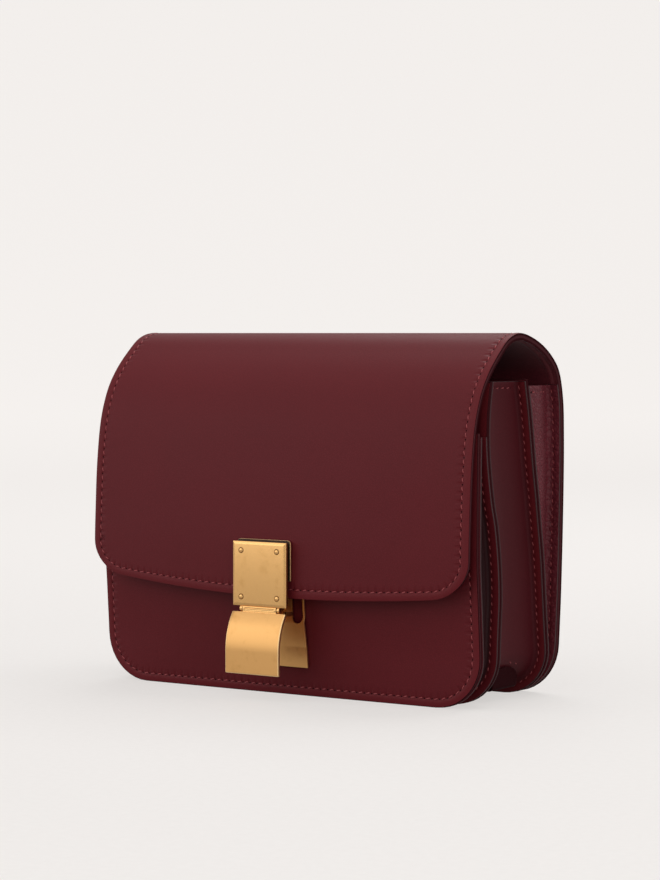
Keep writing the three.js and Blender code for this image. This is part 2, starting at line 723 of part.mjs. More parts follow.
const clasp = new THREE.Group();
clasp.add(
  piece('clasp_backing_plate', backingPlate(), GOLD_BRASS),
  piece('clasp_front_plate', frontPlate(), GOLD_BRASS),
  piece('clasp_pin', rod(PIN_RADIUS, BARREL_LENGTH, 0, axisY, axisZ), GOLD_BRASS),
  piece('clasp_lever', lever(), GOLD_BRASS),
  piece('catch_plate', catchPlate(), GOLD_BRASS),
);
for (const sideX of bothSides) {
  for (const sideZ of bothSides) {
    const name = `clasp_rivet_${sideZ > 0 ? 'upper' : 'lower'}_${sideX > 0 ? 'right' : 'left'}`;
    clasp.add(piece(name, rivet(sideX, sideZ), GOLD_BRASS));
  }
}

// The bag stands on z = 0 with its box centred on x and y
const bag = new THREE.Group();
bag.add(leather, clasp);
bag.position.y = -new THREE.Box3().setFromObject(bag).getCenter(new THREE.Vector3()).y;

export default bag;
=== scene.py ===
import math

import bmesh
import bpy
import numpy as np
from mathutils import Matrix, Vector, noise


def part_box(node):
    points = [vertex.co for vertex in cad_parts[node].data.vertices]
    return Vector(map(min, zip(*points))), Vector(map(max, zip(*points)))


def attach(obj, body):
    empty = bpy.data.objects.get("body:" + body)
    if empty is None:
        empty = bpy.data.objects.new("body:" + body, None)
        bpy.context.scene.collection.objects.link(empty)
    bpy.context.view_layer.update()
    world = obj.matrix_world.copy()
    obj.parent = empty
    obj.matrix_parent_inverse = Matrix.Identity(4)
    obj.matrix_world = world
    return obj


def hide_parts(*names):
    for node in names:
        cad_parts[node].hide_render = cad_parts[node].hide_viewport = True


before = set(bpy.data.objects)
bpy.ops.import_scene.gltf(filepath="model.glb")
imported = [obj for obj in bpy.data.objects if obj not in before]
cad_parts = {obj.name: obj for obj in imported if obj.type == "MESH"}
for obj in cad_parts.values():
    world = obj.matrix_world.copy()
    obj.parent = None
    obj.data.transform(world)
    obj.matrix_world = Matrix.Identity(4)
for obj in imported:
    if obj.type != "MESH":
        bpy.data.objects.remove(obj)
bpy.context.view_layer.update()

MM = 0.001

# Sizes of the leather in the CAD model
BAG_WIDTH = 200
BAG_HEIGHT = 160
BAG_DEPTH = 72.3
COVER_WALL = 3
PANEL_WALL = 2
DIVIDER_WALL = 1.2
GUSSET_WALL = 1
GAP = 0.3
CORNER_RADIUS = 22
FLAP_CORNER_RADIUS = 17
FLAP_FOOT = 44.6
FLAP_SAG = 5.8
FLAP_SKEW = 1.4
FLAP_BOW = 5.4
PANEL_BOW = 3.8
SAG_REACH = 60
FRONT_PANEL_TOP = 118
FRONT_GUSSET_TOP = 116
MIDDLE_TOP = 139.2
BACK_DIVIDER_TOP = 140
BACK_GUSSET_TOP = 137
GUSSET_INSET = 5.4
FOLD_RADIUS = 1.6
TUCK_DEPTH = 6
FLANGE = GAP + GUSSET_WALL

# While the leather is worked out, y = 0 is the foot of the front panel
FRONT_FOOT_Y = -22.92

# Seams
SEAM_INSET = 3.8
FLANGE_SEAM_INSET = 3.3
HEM_DROP = 2.9
STITCH_PITCH = 3.8
GUSSET_PITCH = 3.5
THREAD_RADIUS = 0.24
SEAM_DIP = 0.2

# A stitch: its share of the pitch, how far its middle stands up and its ends bend down
STITCH_SHARE = 0.62
STITCH_RISE = 0.14
STITCH_BEND = 0.42

# A pricking mark between two stitches: a dark plug that paints the shade in its hole
MARK_HALF_LENGTH = 0.62
MARK_HALF_WIDTH = 0.36
MARK_LIFT = 0.03
MARK_DEPTH = 0.25
MARK_SLANT = 60

# Inside line of the cover from the foot of the back, over the top, to the flap's foot
COVER_LINE = [
    (0.928, 0), (0.938, 0.102), (0.97, 0.288), (0.997, 0.573), (1, 0.732), (0.987, 0.831),
    (0.937, 0.904), (0.853, 0.94), (0.74, 0.969), (0.6, 0.991), (0.475, 1), (0.355, 0.987),
    (0.24, 0.95), (0.126, 0.903), (0.046, 0.857), (-0.007, 0.808), (-0.046, 0.75),
    (-0.081, 0.638), (-0.099, 0.508), (-0.108, 0.407), (-0.11, 0.24),
]

# Share of the flap's full bow by height
FLAP_CROWN = {
    "z": [0.24, 0.42, 0.52, 0.64, 0.73, 0.82, 0.92, 1],
    "bow": [1, 0.97, 0.86, 0.64, 0.46, 0.26, 0.08, 0],
}

# The accordion by height, as shares of the bag's height and depth
ACCORDION = {
    "z": [0, 0.09, 0.14, 0.23, 0.29, 0.38, 0.48, 0.55, 0.65, 0.72, 0.79, 0.86, 0.89],
    "lean": [0, -0.003, -0.006, -0.019, -0.028, -0.042, -0.043, -0.042, -0.039, -0.035, -0.03,
             -0.025, -0.023],
    "bow": [0.2, 0.58, 0.72, 0.9, 0.98, 1, 0.98, 0.9, 0.66, 0.45, 0.3, 0.2, 0.2],
    "front": [0.142, 0.141, 0.143, 0.168, 0.186, 0.189, 0.154, 0.107, 0.061, 0.043, 0.045,
              0.068, 0.08],
    "middle": [0.556, 0.545, 0.53, 0.495, 0.473, 0.463, 0.461, 0.481, 0.481, 0.47, 0.435,
               0.373, 0.35],
}

# How far each gusset's web folds inwards across its width
WEB_FOLDS = {
    "across": [0, 0.25, 0.5, 0.75, 1],
    "front": [0, 0.6, 1, 0.6, 0],
    "middle": [0, 0.42, 0.46, 0.26, 0],
    "back": [0, -0.08, -0.14, -0.1, 0],
}

# How far a divider is filled out towards each flange
SEAM_FILL = 0.24

# Flange of a gusset: distance in from its edge, and how far its leather stands back there
FLANGE_ROLL = [(0, 0), (0.4, 0), (1, 0.05), (1.8, 0.08), (2.6, 0), (3, -0.1), (3.3, -0.16), (3.6, -0.1)]
FLANGE_REACH = 3.8

# A fold and a tuck are no wider than these shares of the space between two panels
FOLD_SHARE = 0.42
TUCK_SHARE = 0.45

# Hem of a gusset's web: a dip along its stitches and a roll above them
HEM_DIP = 0.16
HEM_DIP_REACH = 0.5
HEM_ROLL = 0.1
HEM_ROLL_DROP = 1.2
HEM_ROLL_REACH = 0.8

# Wrinkles of soft leather: how fast they change across x, y and z, and the finer ones among them
WRINKLE_RATE = (0.02, 0.09, 0.05)
BROAD_WRINKLES = 1.7
FINE_WRINKLES = 4.3

# Steps in from an edge at which a sheet's mesh is divided, close together at the seam
EDGE_STEPS = [0, 0.5, 1.1, 1.9, 2.7, 3.2, 3.5, 3.8, 4.1, 4.4, 5, 6.6]
# How far the leather stands out at each of them: a soft roll between edge and seam
EDGE_ROLL = [-0.04, 0.02, 0.1, 0.13, 0.07, -0.06, -0.16, -SEAM_DIP, -0.16, -0.08, -0.02, 0]
# Any distance from an edge past which a seam has no effect
FAR_IN = 9

# Material slots of a sheet, in the order in which they are given to it
EDGE_SLOT = 1
BACK_SLOT = 2
GROOVE_SLOT = 3
GROOVE_DEPTH = 0.12
RIM_ANGLE = 65
MERGE_DISTANCE = 0.01 * MM

# Parts of a round corner in a path, and steps down and across it
CORNER_PARTS = 12
DOWN_STEP = 2
ACROSS_STEP = 3


# Reading the tables

def along(table, key, column, place):
    """One column of a table at a place, on a smooth line through its rows."""
    keys = table[key]
    values = table[column]
    row = 0
    while row < len(keys) - 2 and place > keys[row + 1]:
        row += 1

    def slope(a, b):
        return (values[b] - values[a]) / (keys[b] - keys[a])

    width = keys[row + 1] - keys[row]
    share = (place - keys[row]) / width
    slope_in = slope(max(row - 1, 0), row + 1) * width
    slope_out = slope(row, min(row + 2, len(keys) - 1)) * width
    cube = share ** 3
    square = share ** 2
    return ((2 * cube - 3 * square + 1) * values[row]
            + (cube - 2 * square + share) * slope_in
            + (3 * square - 2 * cube) * values[row + 1]
            + (cube - square) * slope_out)


def by_height(column, z):
    return along(ACCORDION, "z", column, z / BAG_HEIGHT)


def crown(x):
    """One in the middle of the bag's width and none at its sides."""
    return 1 - (2 * x / BAG_WIDTH) ** 2


# Faces of the accordion, from front to back: y at a place across the bag and a height

def front_panel_face(x, z):
    return BAG_DEPTH * by_height("lean", z) - PANEL_BOW * by_height("bow", z) * crown(x)


def front_panel_back(x, z):
    return front_panel_face(x, z) + PANEL_WALL


def front_divider_face(x, z):
    edge = BAG_DEPTH * by_height("lean", z)
    return edge + PANEL_WALL + BAG_DEPTH * by_height("front", z) + 2 * FLANGE


def front_divider_back(x, z):
    return front_divider_face(x, z) + DIVIDER_WALL


def back_divider_face(x, z):
    return front_divider_back(x, z) + BAG_DEPTH * by_height("middle", z) + 2 * FLANGE


def back_divider_back(x, z):
    return back_divider_face(x, z) + DIVIDER_WALL


# The cover's inside line

def smooth_line(knots, steps=24):
    """Points close together on a smooth line through the knots."""
    points = [np.array(knot, float) for knot in knots]
    points = [2 * points[0] - points[1]] + points + [2 * points[-1] - points[-2]]
    line = []
    for a, b, c, d in zip(points, points[1:], points[2:], points[3:]):
        before = np.linalg.norm(b - a) ** 0.5
        span = np.linalg.norm(c - b) ** 0.5
        after = np.linalg.norm(d - c) ** 0.5
        leave = span * ((b - a) / before - (c - a) / (before + span) + (c - b) / span)
        arrive = span * ((c - b) / span - (d - b) / (span + after) + (d - c) / after)
        for step in range(steps):
            t = step / steps
            line.append((2 * t ** 3 - 3 * t ** 2 + 1) * b + (t ** 3 - 2 * t ** 2 + t) * leave
                        + (3 * t ** 2 - 2 * t ** 3) * c + (t ** 3 - t ** 2) * arrive)
    line.append(points[-2])
    return np.array(line)


INNER_DEPTH = BAG_DEPTH - COVER_WALL
INNER_HEIGHT = BAG_HEIGHT - COVER_WALL
cover_line = smooth_line([(y * INNER_DEPTH, z * INNER_HEIGHT) for y, z in COVER_LINE])
cover_lengths = np.concatenate([[0], np.cumsum(np.linalg.norm(np.diff(cover_line, axis=0), axis=1))])
cover_slopes = np.gradient(cover_line, cover_lengths, axis=0)
whole_cover = cover_lengths[-1]
flap_rows = np.where(cover_line[:, 1] >= FLAP_FOOT)[0]
cover_length = float(np.interp(-FLAP_FOOT, -cover_line[flap_rows[-1]:, 1], cover_lengths[flap_rows[-1]:]))


def cover_length_at(height, from_flap):
    """Length along the cover's line where it reaches a height, from one of its ends."""
    rows = np.where(cover_line[:, 1] >= height)[0]
    return float(cover_lengths[rows[-1] if from_flap else rows[0]])


def cover_point(x, length, out):
    """x, length along the inside line, and the distance out from it."""
    place = min(max(length, 0), whole_cover)
    y, z, rise_y, rise_z = (
        float(np.interp(place, cover_lengths, column))
        for column in (*cover_line.T, *cover_slopes.T)
    )
    size = math.hypot(rise_y, rise_z)
    on_flap = place > whole_cover / 2
    bow = FLAP_BOW * along(FLAP_CROWN, "z", "bow", z / BAG_HEIGHT) if on_flap else 0
    y_out = y + out * rise_z / size - bow * crown(x)
    return (x, y_out, max(z - out * rise_y / size, 0))


def flap_length(x, length):
    """The flap's foot hangs lowest in the middle, and a little lower at its right."""
    reach = max(length - cover_length + SAG_REACH, 0) / SAG_REACH
    hang = FLAP_SKEW * 2 * x / BAG_WIDTH - FLAP_SAG * (1 - crown(x))
    return length + hang * reach ** 2


def cover_back_face(x, z):
    return cover_point(0, cover_length_at(z, False), 0)[1]


# Placing points and finishing pieces

def place(point):
    """From millimetres behind the front panel's foot to metres in the bag's own frame."""
    x, y, z = point
    return Vector((x, y + FRONT_FOOT_Y, z)) * MM


def deselect():
    if bpy.context.object and bpy.context.object.mode != "OBJECT":
        bpy.ops.object.mode_set(mode="OBJECT")
    bpy.ops.object.select_all(action="DESELECT")


def take(piece):
    """Makes a piece the only selected and active one."""
    deselect()
    piece.select_set(True)
    bpy.context.view_layer.objects.active = piece


def edit(piece):
    take(piece)
    bpy.ops.object.mode_set(mode="EDIT")


def done():
    bpy.ops.object.mode_set(mode="OBJECT")


def apply(piece, kind, **values):
    """Adds a modifier with its values and applies it."""
    take(piece)
    modifier = piece.modifiers.new(kind.lower(), kind)
    for name, value in values.items():
        setattr(modifier, name, value)
    bpy.ops.object.modifier_apply(modifier=modifier.name)


def round_edges(piece, width, parts, degrees, **values):
    """Rounds the edges that are sharper than an angle."""
    apply(piece, "BEVEL", width=width * MM, segments=parts, limit_method="ANGLE",
          angle_limit=math.radians(degrees), **values)


def outward(piece):
    edit(piece)
    bpy.ops.mesh.select_all(action="SELECT")
    bpy.ops.mesh.normals_make_consistent(inside=False)
    done()


def soften(piece, degrees=40):
    """Shades a piece smooth, but for edges sharper than an angle."""
    take(piece)
    bpy.ops.object.shade_smooth_by_angle(angle=math.radians(degrees))


def finish_piece(piece, name, body, materials, replaces=()):
    """Names a piece, gives it its materials, hangs it on the empty of the body it rides, and hides the CAD
    nodes it stands for.
    """
    piece.name = name
    piece.data.name = name
    for material in materials:
        piece.data.materials.append(material)
    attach(piece, body)
    if replaces:
        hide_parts(*replaces)
    return piece


def grid(rows, columns, point):
    """A sheet of rows by columns points, each placed by a function of its row and column.

    The function also gives the distance from the sheet's edge, and the number of stitches along
    its seam up to there."""
    deselect()
    bpy.ops.mesh.primitive_grid_add(x_subdivisions=columns - 1, y_subdivisions=rows - 1, size=1)
    piece = bpy.context.object
    edge = piece.data.attributes.new("edge", "FLOAT", "POINT")
    run = piece.data.attributes.new("run", "FLOAT", "POINT")
    for vertex in piece.data.vertices:
        column = round((vertex.co.x + 0.5) * (columns - 1))
        row = round((vertex.co.y + 0.5) * (rows - 1))
        position, distance, stitches = point(row, column)
        vertex.co = place(position)
        edge.data[vertex.index].value = distance
        run.data[vertex.index].value = stitches
    edit(piece)
    bpy.ops.mesh.select_all(action="SELECT")
    bpy.ops.mesh.remove_doubles(threshold=MERGE_DISTANCE)
    done()
    return piece


def wall(piece, thickness, rounding, materials, groove=None):
    """Gives a sheet its wall, a painted edge with its centre pressed in, and rounded rims."""
    for material in materials:
        piece.data.materials.append(material)
    apply(piece, "SOLIDIFY", thickness=thickness * MM, offset=-1, use_even_offset=True,
          use_quality_normals=True, material_offset=BACK_SLOT, material_offset_rim=EDGE_SLOT)
    if groove:
        edit(piece)
        bpy.ops.mesh.select_mode(type="FACE")
        bpy.ops.mesh.select_all(action="DESELECT")
        done()
        for face in piece.data.polygons:
            face.select = face.material_index == EDGE_SLOT
        bpy.ops.object.mode_set(mode="EDIT")
        bpy.ops.mesh.inset(thickness=groove * MM, depth=-GROOVE_DEPTH * MM)
        bpy.context.object.active_material_index = GROOVE_SLOT
        bpy.ops.object.material_slot_assign()
        done()
    round_edges(piece, rounding, 3, RIM_ANGLE, material=EDGE_SLOT, use_clamp_overlap=True)
    soften(piece)


# Flat patterns: a panel or the cover laid flat, with rings of points that follow its outline

def pattern(length, foot_radius, top_radius, stations, columns=41, corner_steps=10):
    """Rows, columns and a function that gives x, length and distance from the edge."""
    depth = EDGE_STEPS[-1]
    rings = len(EDGE_STEPS) - 1
    half = BAG_WIDTH / 2
    rows = []
    for step in range(corner_steps):
        angle = math.pi / 2 * step / corner_steps
        rows.append((
            half - foot_radius + (foot_radius - depth) * math.sin(angle),
            foot_radius - (foot_radius - depth) * math.cos(angle),
            (-math.sin(angle), -math.cos(angle)),
        ))
    rows += [(half - depth, station, (-1, 0)) for station in stations]
    if top_radius:
        for step in range(corner_steps - 1, -1, -1):
            angle = math.pi / 2 * step / corner_steps
            rows.append((
                half - top_radius + (top_radius - depth) * math.sin(angle),
                length - top_radius + (top_radius - depth) * math.cos(angle),
                (-math.sin(angle), math.cos(angle)),
            ))
    row_count = rings + len(rows) + (rings if top_radius else 0)
    column_count = rings + columns + rings

    def point(row, column):
        inner_row = min(max(row - rings, 0), len(rows) - 1)
        inner_column = min(max(column - rings, 0), columns - 1)
        reach, station, side = rows[inner_row]
        share = 2 * inner_column / (columns - 1) - 1
        ring = min(row, column, column_count - 1 - column, rings)
        if top_radius:
            ring = min(ring, row_count - 1 - row)
        x = share * reach
        if ring == rings:
            return x, station, edge_distance(x, station, length, foot_radius, top_radius)
        move = depth - EDGE_STEPS[ring]
        if column - rings <= 0 or column - rings >= columns - 1:
            direction = (side[0] * (1 if share < 0 else -1), side[1])
        else:
            direction = (0, -1 if row < rings else 1)
        return x + move * direction[0], station + move * direction[1], EDGE_STEPS[ring]

    return row_count, column_count, point


def edge_distance(x, station, length, foot_radius, top_radius):
    """Distance of a place in a pattern from its outline, with round corners."""
    from_side = BAG_WIDTH / 2 - abs(x)
    from_foot = station
    from_top = length - station if top_radius else length
    nearest = min(from_side, from_foot, from_top)
    for radius, from_end in ((foot_radius, from_foot), (top_radius, from_top)):
        if from_side < radius and from_end < radius:
            nearest = radius - math.hypot(radius - from_side, radius - from_end)
    return nearest


def stitch_counter(path, surface, pitch):
    """A function that gives how many stitches of a seam lie before a place in its pattern."""
    flat = np.array(path)
    points = np.array([surface(x, station, 0) for x, station in path])
    lengths = np.concatenate([[0], np.cumsum(np.linalg.norm(np.diff(points, axis=0), axis=1))])
    stitches = lengths / lengths[-1] * max(round(lengths[-1] / pitch), 1)
    starts = flat[:-1]
    ways = np.diff(flat, axis=0)
    sizes = np.maximum((ways ** 2).sum(axis=1), 1e-9)

    def count(x, station):
        to_place = np.array([x, station]) - starts
        shares = np.clip((to_place * ways).sum(axis=1) / sizes, 0, 1)
        gaps = ((to_place - shares[:, None] * ways) ** 2).sum(axis=1)
        row = int(gaps.argmin())
        return float(stitches[row] + shares[row] * (stitches[row + 1] - stitches[row]))

    return count


def edge_lift(distance):
    """How far the leather stands out at a distance from its edge."""
    return float(np.interp(distance, EDGE_STEPS, EDGE_ROLL))


def spread(start, end, step):
    """Places from start to end, a step or less apart."""
    count = max(math.ceil((end - start) / step), 1)
    return [start + (end - start) * part / count for part in range(count + 1)]


def outline_path(length, foot_radius, top_radius, inset, top_inset=None):
    """Points along a pattern's outline, moved in from its edge: a U, or a ring if it has upper corners."""
    half = BAG_WIDTH / 2
    end = length - (top_radius or (top_inset or 0))
    path = [(-half + inset, station) for station in spread(foot_radius, end, DOWN_STEP)[::-1]]
    for step in range(1, CORNER_PARTS + 1):
        angle = math.pi / 2 * (1 - step / CORNER_PARTS)
        path.append((
            -half + foot_radius - (foot_radius - inset) * math.sin(angle),
            foot_radius - (foot_radius - inset) * math.cos(angle),
        ))
    path += [(x, inset) for x in spread(-half + foot_radius, 0, ACROSS_STEP)[1:]]
    path += [(-x, station) for x, station in path[::-1][1:]]
    if top_radius:
        for step in range(1, CORNER_PARTS + 1):
            angle = math.pi / 2 * (1 - step / CORNER_PARTS)
            path.append((
                half - top_radius + (top_radius - inset) * math.sin(angle),
                length - top_radius + (top_radius - inset) * math.cos(angle),
            ))
        foot = spread(-half + top_radius, half - top_radius, ACROSS_STEP)[::-1]
        path += [(x, length - inset) for x in foot[1:]]
        for step in range(1, CORNER_PARTS + 1):
            angle = math.pi / 2 * step / CORNER_PARTS
            path.append((
                -half + top_radius - (top_radius - inset) * math.sin(angle),
                length - top_radius + (top_radius - inset) * math.cos(angle),
            ))
    return path


# Seams: one stitch is modelled and copied along a path

def model_stitch(length):
    """A short thread that comes up out of one hole and goes down into the next, as points and faces."""
    deselect()
    bpy.ops.mesh.primitive_cylinder_add(vertices=6, radius=1, depth=1, end_fill_type="NGON")
    stitch = bpy.context.object
    stitch.data.transform(Matrix.Rotation(math.pi / 2, 4, "Y"))
    form = bmesh.new()
    form.from_mesh(stitch.data)
    for cut in (-0.3, 0, 0.3):
        whole = form.verts[:] + form.edges[:] + form.faces[:]
        bmesh.ops.bisect_plane(form, geom=whole, plane_co=(cut, 0, 0), plane_no=(1, 0, 0))
    for vertex in form.verts:
        reach = abs(vertex.co.x) * 2
        round_off = math.sqrt(max(1 - (0.9 * reach) ** 4, 0))
        vertex.co = Vector((
            vertex.co.x * length,
            vertex.co.y * THREAD_RADIUS * round_off,
            vertex.co.z * THREAD_RADIUS * round_off + STITCH_RISE - STITCH_BEND * reach ** 2,
        ))
    points = [vertex.co.copy() for vertex in form.verts]
    form.verts.index_update()
    faces = [[vertex.index for vertex in face.verts] for face in form.faces]
    form.free()
    bpy.data.objects.remove(stitch, do_unlink=True)
    return points, faces


def model_mark():
    """A small pricking mark with eight sides, a little wider below, as points and faces: a dark plug that
    paints the shade in the hole.
    """
    points = [
        Vector((MARK_HALF_LENGTH * math.cos(angle), MARK_HALF_WIDTH * math.sin(angle), MARK_LIFT))
        for angle in (step * math.pi / 4 for step in range(8))
    ]
    low = [Vector((p.x * 1.1, p.y * 1.1, -MARK_DEPTH)) for p in points]
    faces = [list(range(8)), list(range(15, 7, -1))]
    faces += [[step, step + 8, (step + 1) % 8 + 8, (step + 1) % 8] for step in range(8)]
    return points + low, faces


def copies(name, form, spots):
    """One mesh with a copy of a form at each spot, a matrix."""
    points, faces = form
    all_points = []
    all_faces = []
    for spot in spots:
        start = len(all_points)
        all_points += [(spot @ point) for point in points]
        all_faces += [[start + corner for corner in face] for face in faces]
    mesh = bpy.data.meshes.new(name)
    mesh.from_pydata(all_points, [], all_faces)
    mesh.update()
    piece = bpy.data.objects.new(name, mesh)
    bpy.context.collection.objects.link(piece)
    take(piece)
    bpy.ops.object.shade_smooth()
    return piece


def seam(name, path, surface, pitch, slant=15, closed=False):
    """Stitches along a path on a surface of x, length and lift, with a mark between each two."""
    line = [Vector(surface(x, length, -SEAM_DIP)) for x, length in path]
    tops = [Vector(surface(x, length, 1)) for x, length in path]
    lengths = [0]
    for a, b in zip(line, line[1:]):
        lengths.append(lengths[-1] + (b - a).length)
    count = max(round(lengths[-1] / pitch), 1)
    stitch_spots = []
    mark_spots = []

    def spot(distance, turn):
        row = int(np.searchsorted(lengths, distance, side="right")) - 1
        row = min(max(row, 0), len(line) - 2)
        share = (distance - lengths[row]) / max(lengths[row + 1] - lengths[row], 1e-6)
        position = line[row].lerp(line[row + 1], share)
        top = tops[row].lerp(tops[row + 1], share)
        up = (top - position).normalized()
        run = (line[row + 1] - line[row]).normalized()
        side = up.cross(run).normalized()
        run = side.cross(up)
        frame_matrix = Matrix((run, side, up)).transposed().to_4x4()
        turned = frame_matrix @ Matrix.Rotation(math.radians(turn), 4, "Z")
        turned.translation = position + Vector((0, FRONT_FOOT_Y, 0))
        return Matrix.Scale(MM, 4) @ turned

    step = lengths[-1] / count
    for number in range(count):
        middle = step * (number + 0.5)
        wobble = 3 * math.sin(number * 2.4) + 2 * math.sin(number * 5.1)
        stitch_spots.append(spot(middle, slant + wobble))
        mark_spots.append(spot(step * number, MARK_SLANT))
    if not closed:
        mark_spots.append(spot(lengths[-1] - 0.01, MARK_SLANT))
    threads = copies(name, model_stitch(step * STITCH_SHARE), stitch_spots)
    marks = copies(name + "_marks", model_mark(), mark_spots)
    finish_piece(threads, name, "bag", [thread_finish])
    finish_piece(marks, name + "_marks", "bag", [hole_shade_finish])


# Materials

GRAIN_DEPTH = 0.3 * MM
EVEN_GRAIN = (1300, 1300, 1300)
LINES_ACROSS = (60, 900, 2600)


def group(name, inputs, outputs):
    tree = bpy.data.node_groups.new(name, "ShaderNodeTree")
    for label, kind, value in inputs:
        socket = tree.interface.new_socket(label, in_out="INPUT", socket_type=kind)
        if value is not None:
            socket.default_value = value
    for label, kind in outputs:
        tree.interface.new_socket(label, in_out="OUTPUT", socket_type=kind)
    return tree


def node(tree, kind, values=None, **settings):
    made = tree.nodes.new(kind)
    for name, value in settings.items():
        setattr(made, name, value)
    for name, value in (values or {}).items():
        made.inputs[name].default_value = value
    return made


def leather_grain():
    """Tone and height of a fine leather grain: pores, soft creases and a slow change of tone."""
    tree = group(
        "leather_grain",
        [("Vector", "NodeSocketVector", None), ("Pore Scale", "NodeSocketFloat", 1800),
         ("Crease Scale", "NodeSocketFloat", 600), ("Crease Share", "NodeSocketFloat", 0.3)],
        [("Height", "NodeSocketFloat"), ("Tone", "NodeSocketFloat")],
    )
    start = node(tree, "NodeGroupInput")
    end = node(tree, "NodeGroupOutput")
    pores = node(tree, "ShaderNodeTexNoise", {"Detail": 3, "Roughness": 0.6})
    creases = node(tree, "ShaderNodeTexVoronoi", feature="DISTANCE_TO_EDGE")
    drift = node(tree, "ShaderNodeTexNoise", {"Scale": 22, "Detail": 3, "Roughness": 0.5})
    flat_creases = node(tree, "ShaderNodeMath", {1: 3.5}, operation="MULTIPLY", use_clamp=True)
    mix = node(tree, "ShaderNodeMix", data_type="FLOAT")
    link = tree.links.new
    link(start.outputs["Vector"], pores.inputs["Vector"])
    link(start.outputs["Pore Scale"], pores.inputs["Scale"])
    link(start.outputs["Vector"], creases.inputs["Vector"])
    link(start.outputs["Crease Scale"], creases.inputs["Scale"])
    link(start.outputs["Vector"], drift.inputs["Vector"])
    link(creases.outputs["Distance"], flat_creases.inputs[0])
    link(start.outputs["Crease Share"], mix.inputs["Factor"])
    link(pores.outputs["Fac"], mix.inputs["A"])
    link(flat_creases.outputs["Value"], mix.inputs["B"])
    link(mix.outputs["Result"], end.inputs["Height"])
    link(drift.outputs["Fac"], end.inputs["Tone"])
    return tree


def edge_band():
    """One on the roll of leather between an edge and its seam, none further in."""
    tree = group("edge_band", [], [("Band", "NodeSocketFloat")])
    end = node(tree, "NodeGroupOutput")
    distance = node(tree, "ShaderNodeAttribute", attribute_name="edge")
    band = node(tree, "ShaderNodeMapRange", {"From Min": 2.4, "From Max": 4.4, "To Min": 1, "To Max": 0},
                interpolation_type="SMOOTHSTEP")
    tree.links.new(distance.outputs["Fac"], band.inputs["Value"])
    tree.links.new(band.outputs["Result"], end.inputs["Band"])
    return tree


def stitch_pucker():
    """Height of leather that is drawn in between two stitches, strongest at the seam."""
    tree = group("stitch_pucker", [], [("Height", "NodeSocketFloat")])
    end = node(tree, "NodeGroupOutput")
    link = tree.links.new
    stitches = node(tree, "ShaderNodeAttribute", attribute_name="run")
    distance = node(tree, "ShaderNodeAttribute", attribute_name="edge")
    turns = node(tree, "ShaderNodeMath", {1: 2 * math.pi}, operation="MULTIPLY")
    wave = node(tree, "ShaderNodeMath", operation="COSINE")
    fold = node(tree, "ShaderNodeMapRange", {"From Min": -0.2, "From Max": 1, "To Min": 0, "To Max": -1},
                interpolation_type="SMOOTHSTEP")
    rise = node(tree, "ShaderNodeMapRange", {"From Min": 2.6, "From Max": 3.8},
                interpolation_type="SMOOTHSTEP")
    fade = node(tree, "ShaderNodeMapRange", {"From Min": 3.9, "From Max": 7.5, "To Min": 1, "To Max": 0},
                interpolation_type="SMOOTHSTEP")
    near = node(tree, "ShaderNodeMath", operation="MULTIPLY")
    height = node(tree, "ShaderNodeMath", operation="MULTIPLY")
    link(stitches.outputs["Fac"], turns.inputs[0])
    link(turns.outputs["Value"], wave.inputs[0])
    link(wave.outputs["Value"], fold.inputs["Value"])
    link(distance.outputs["Fac"], rise.inputs["Value"])
    link(distance.outputs["Fac"], fade.inputs["Value"])
    link(rise.outputs["Result"], near.inputs[0])
    link(fade.outputs["Result"], near.inputs[1])
    link(fold.outputs["Result"], height.inputs[0])
    link(near.outputs["Value"], height.inputs[1])
    link(height.outputs["Value"], end.inputs["Height"])
    return tree


def new_material(name):
    material = bpy.data.materials.new(name)
    material.use_nodes = True
    tree = material.node_tree
    return material, tree, tree.nodes["Principled BSDF"]


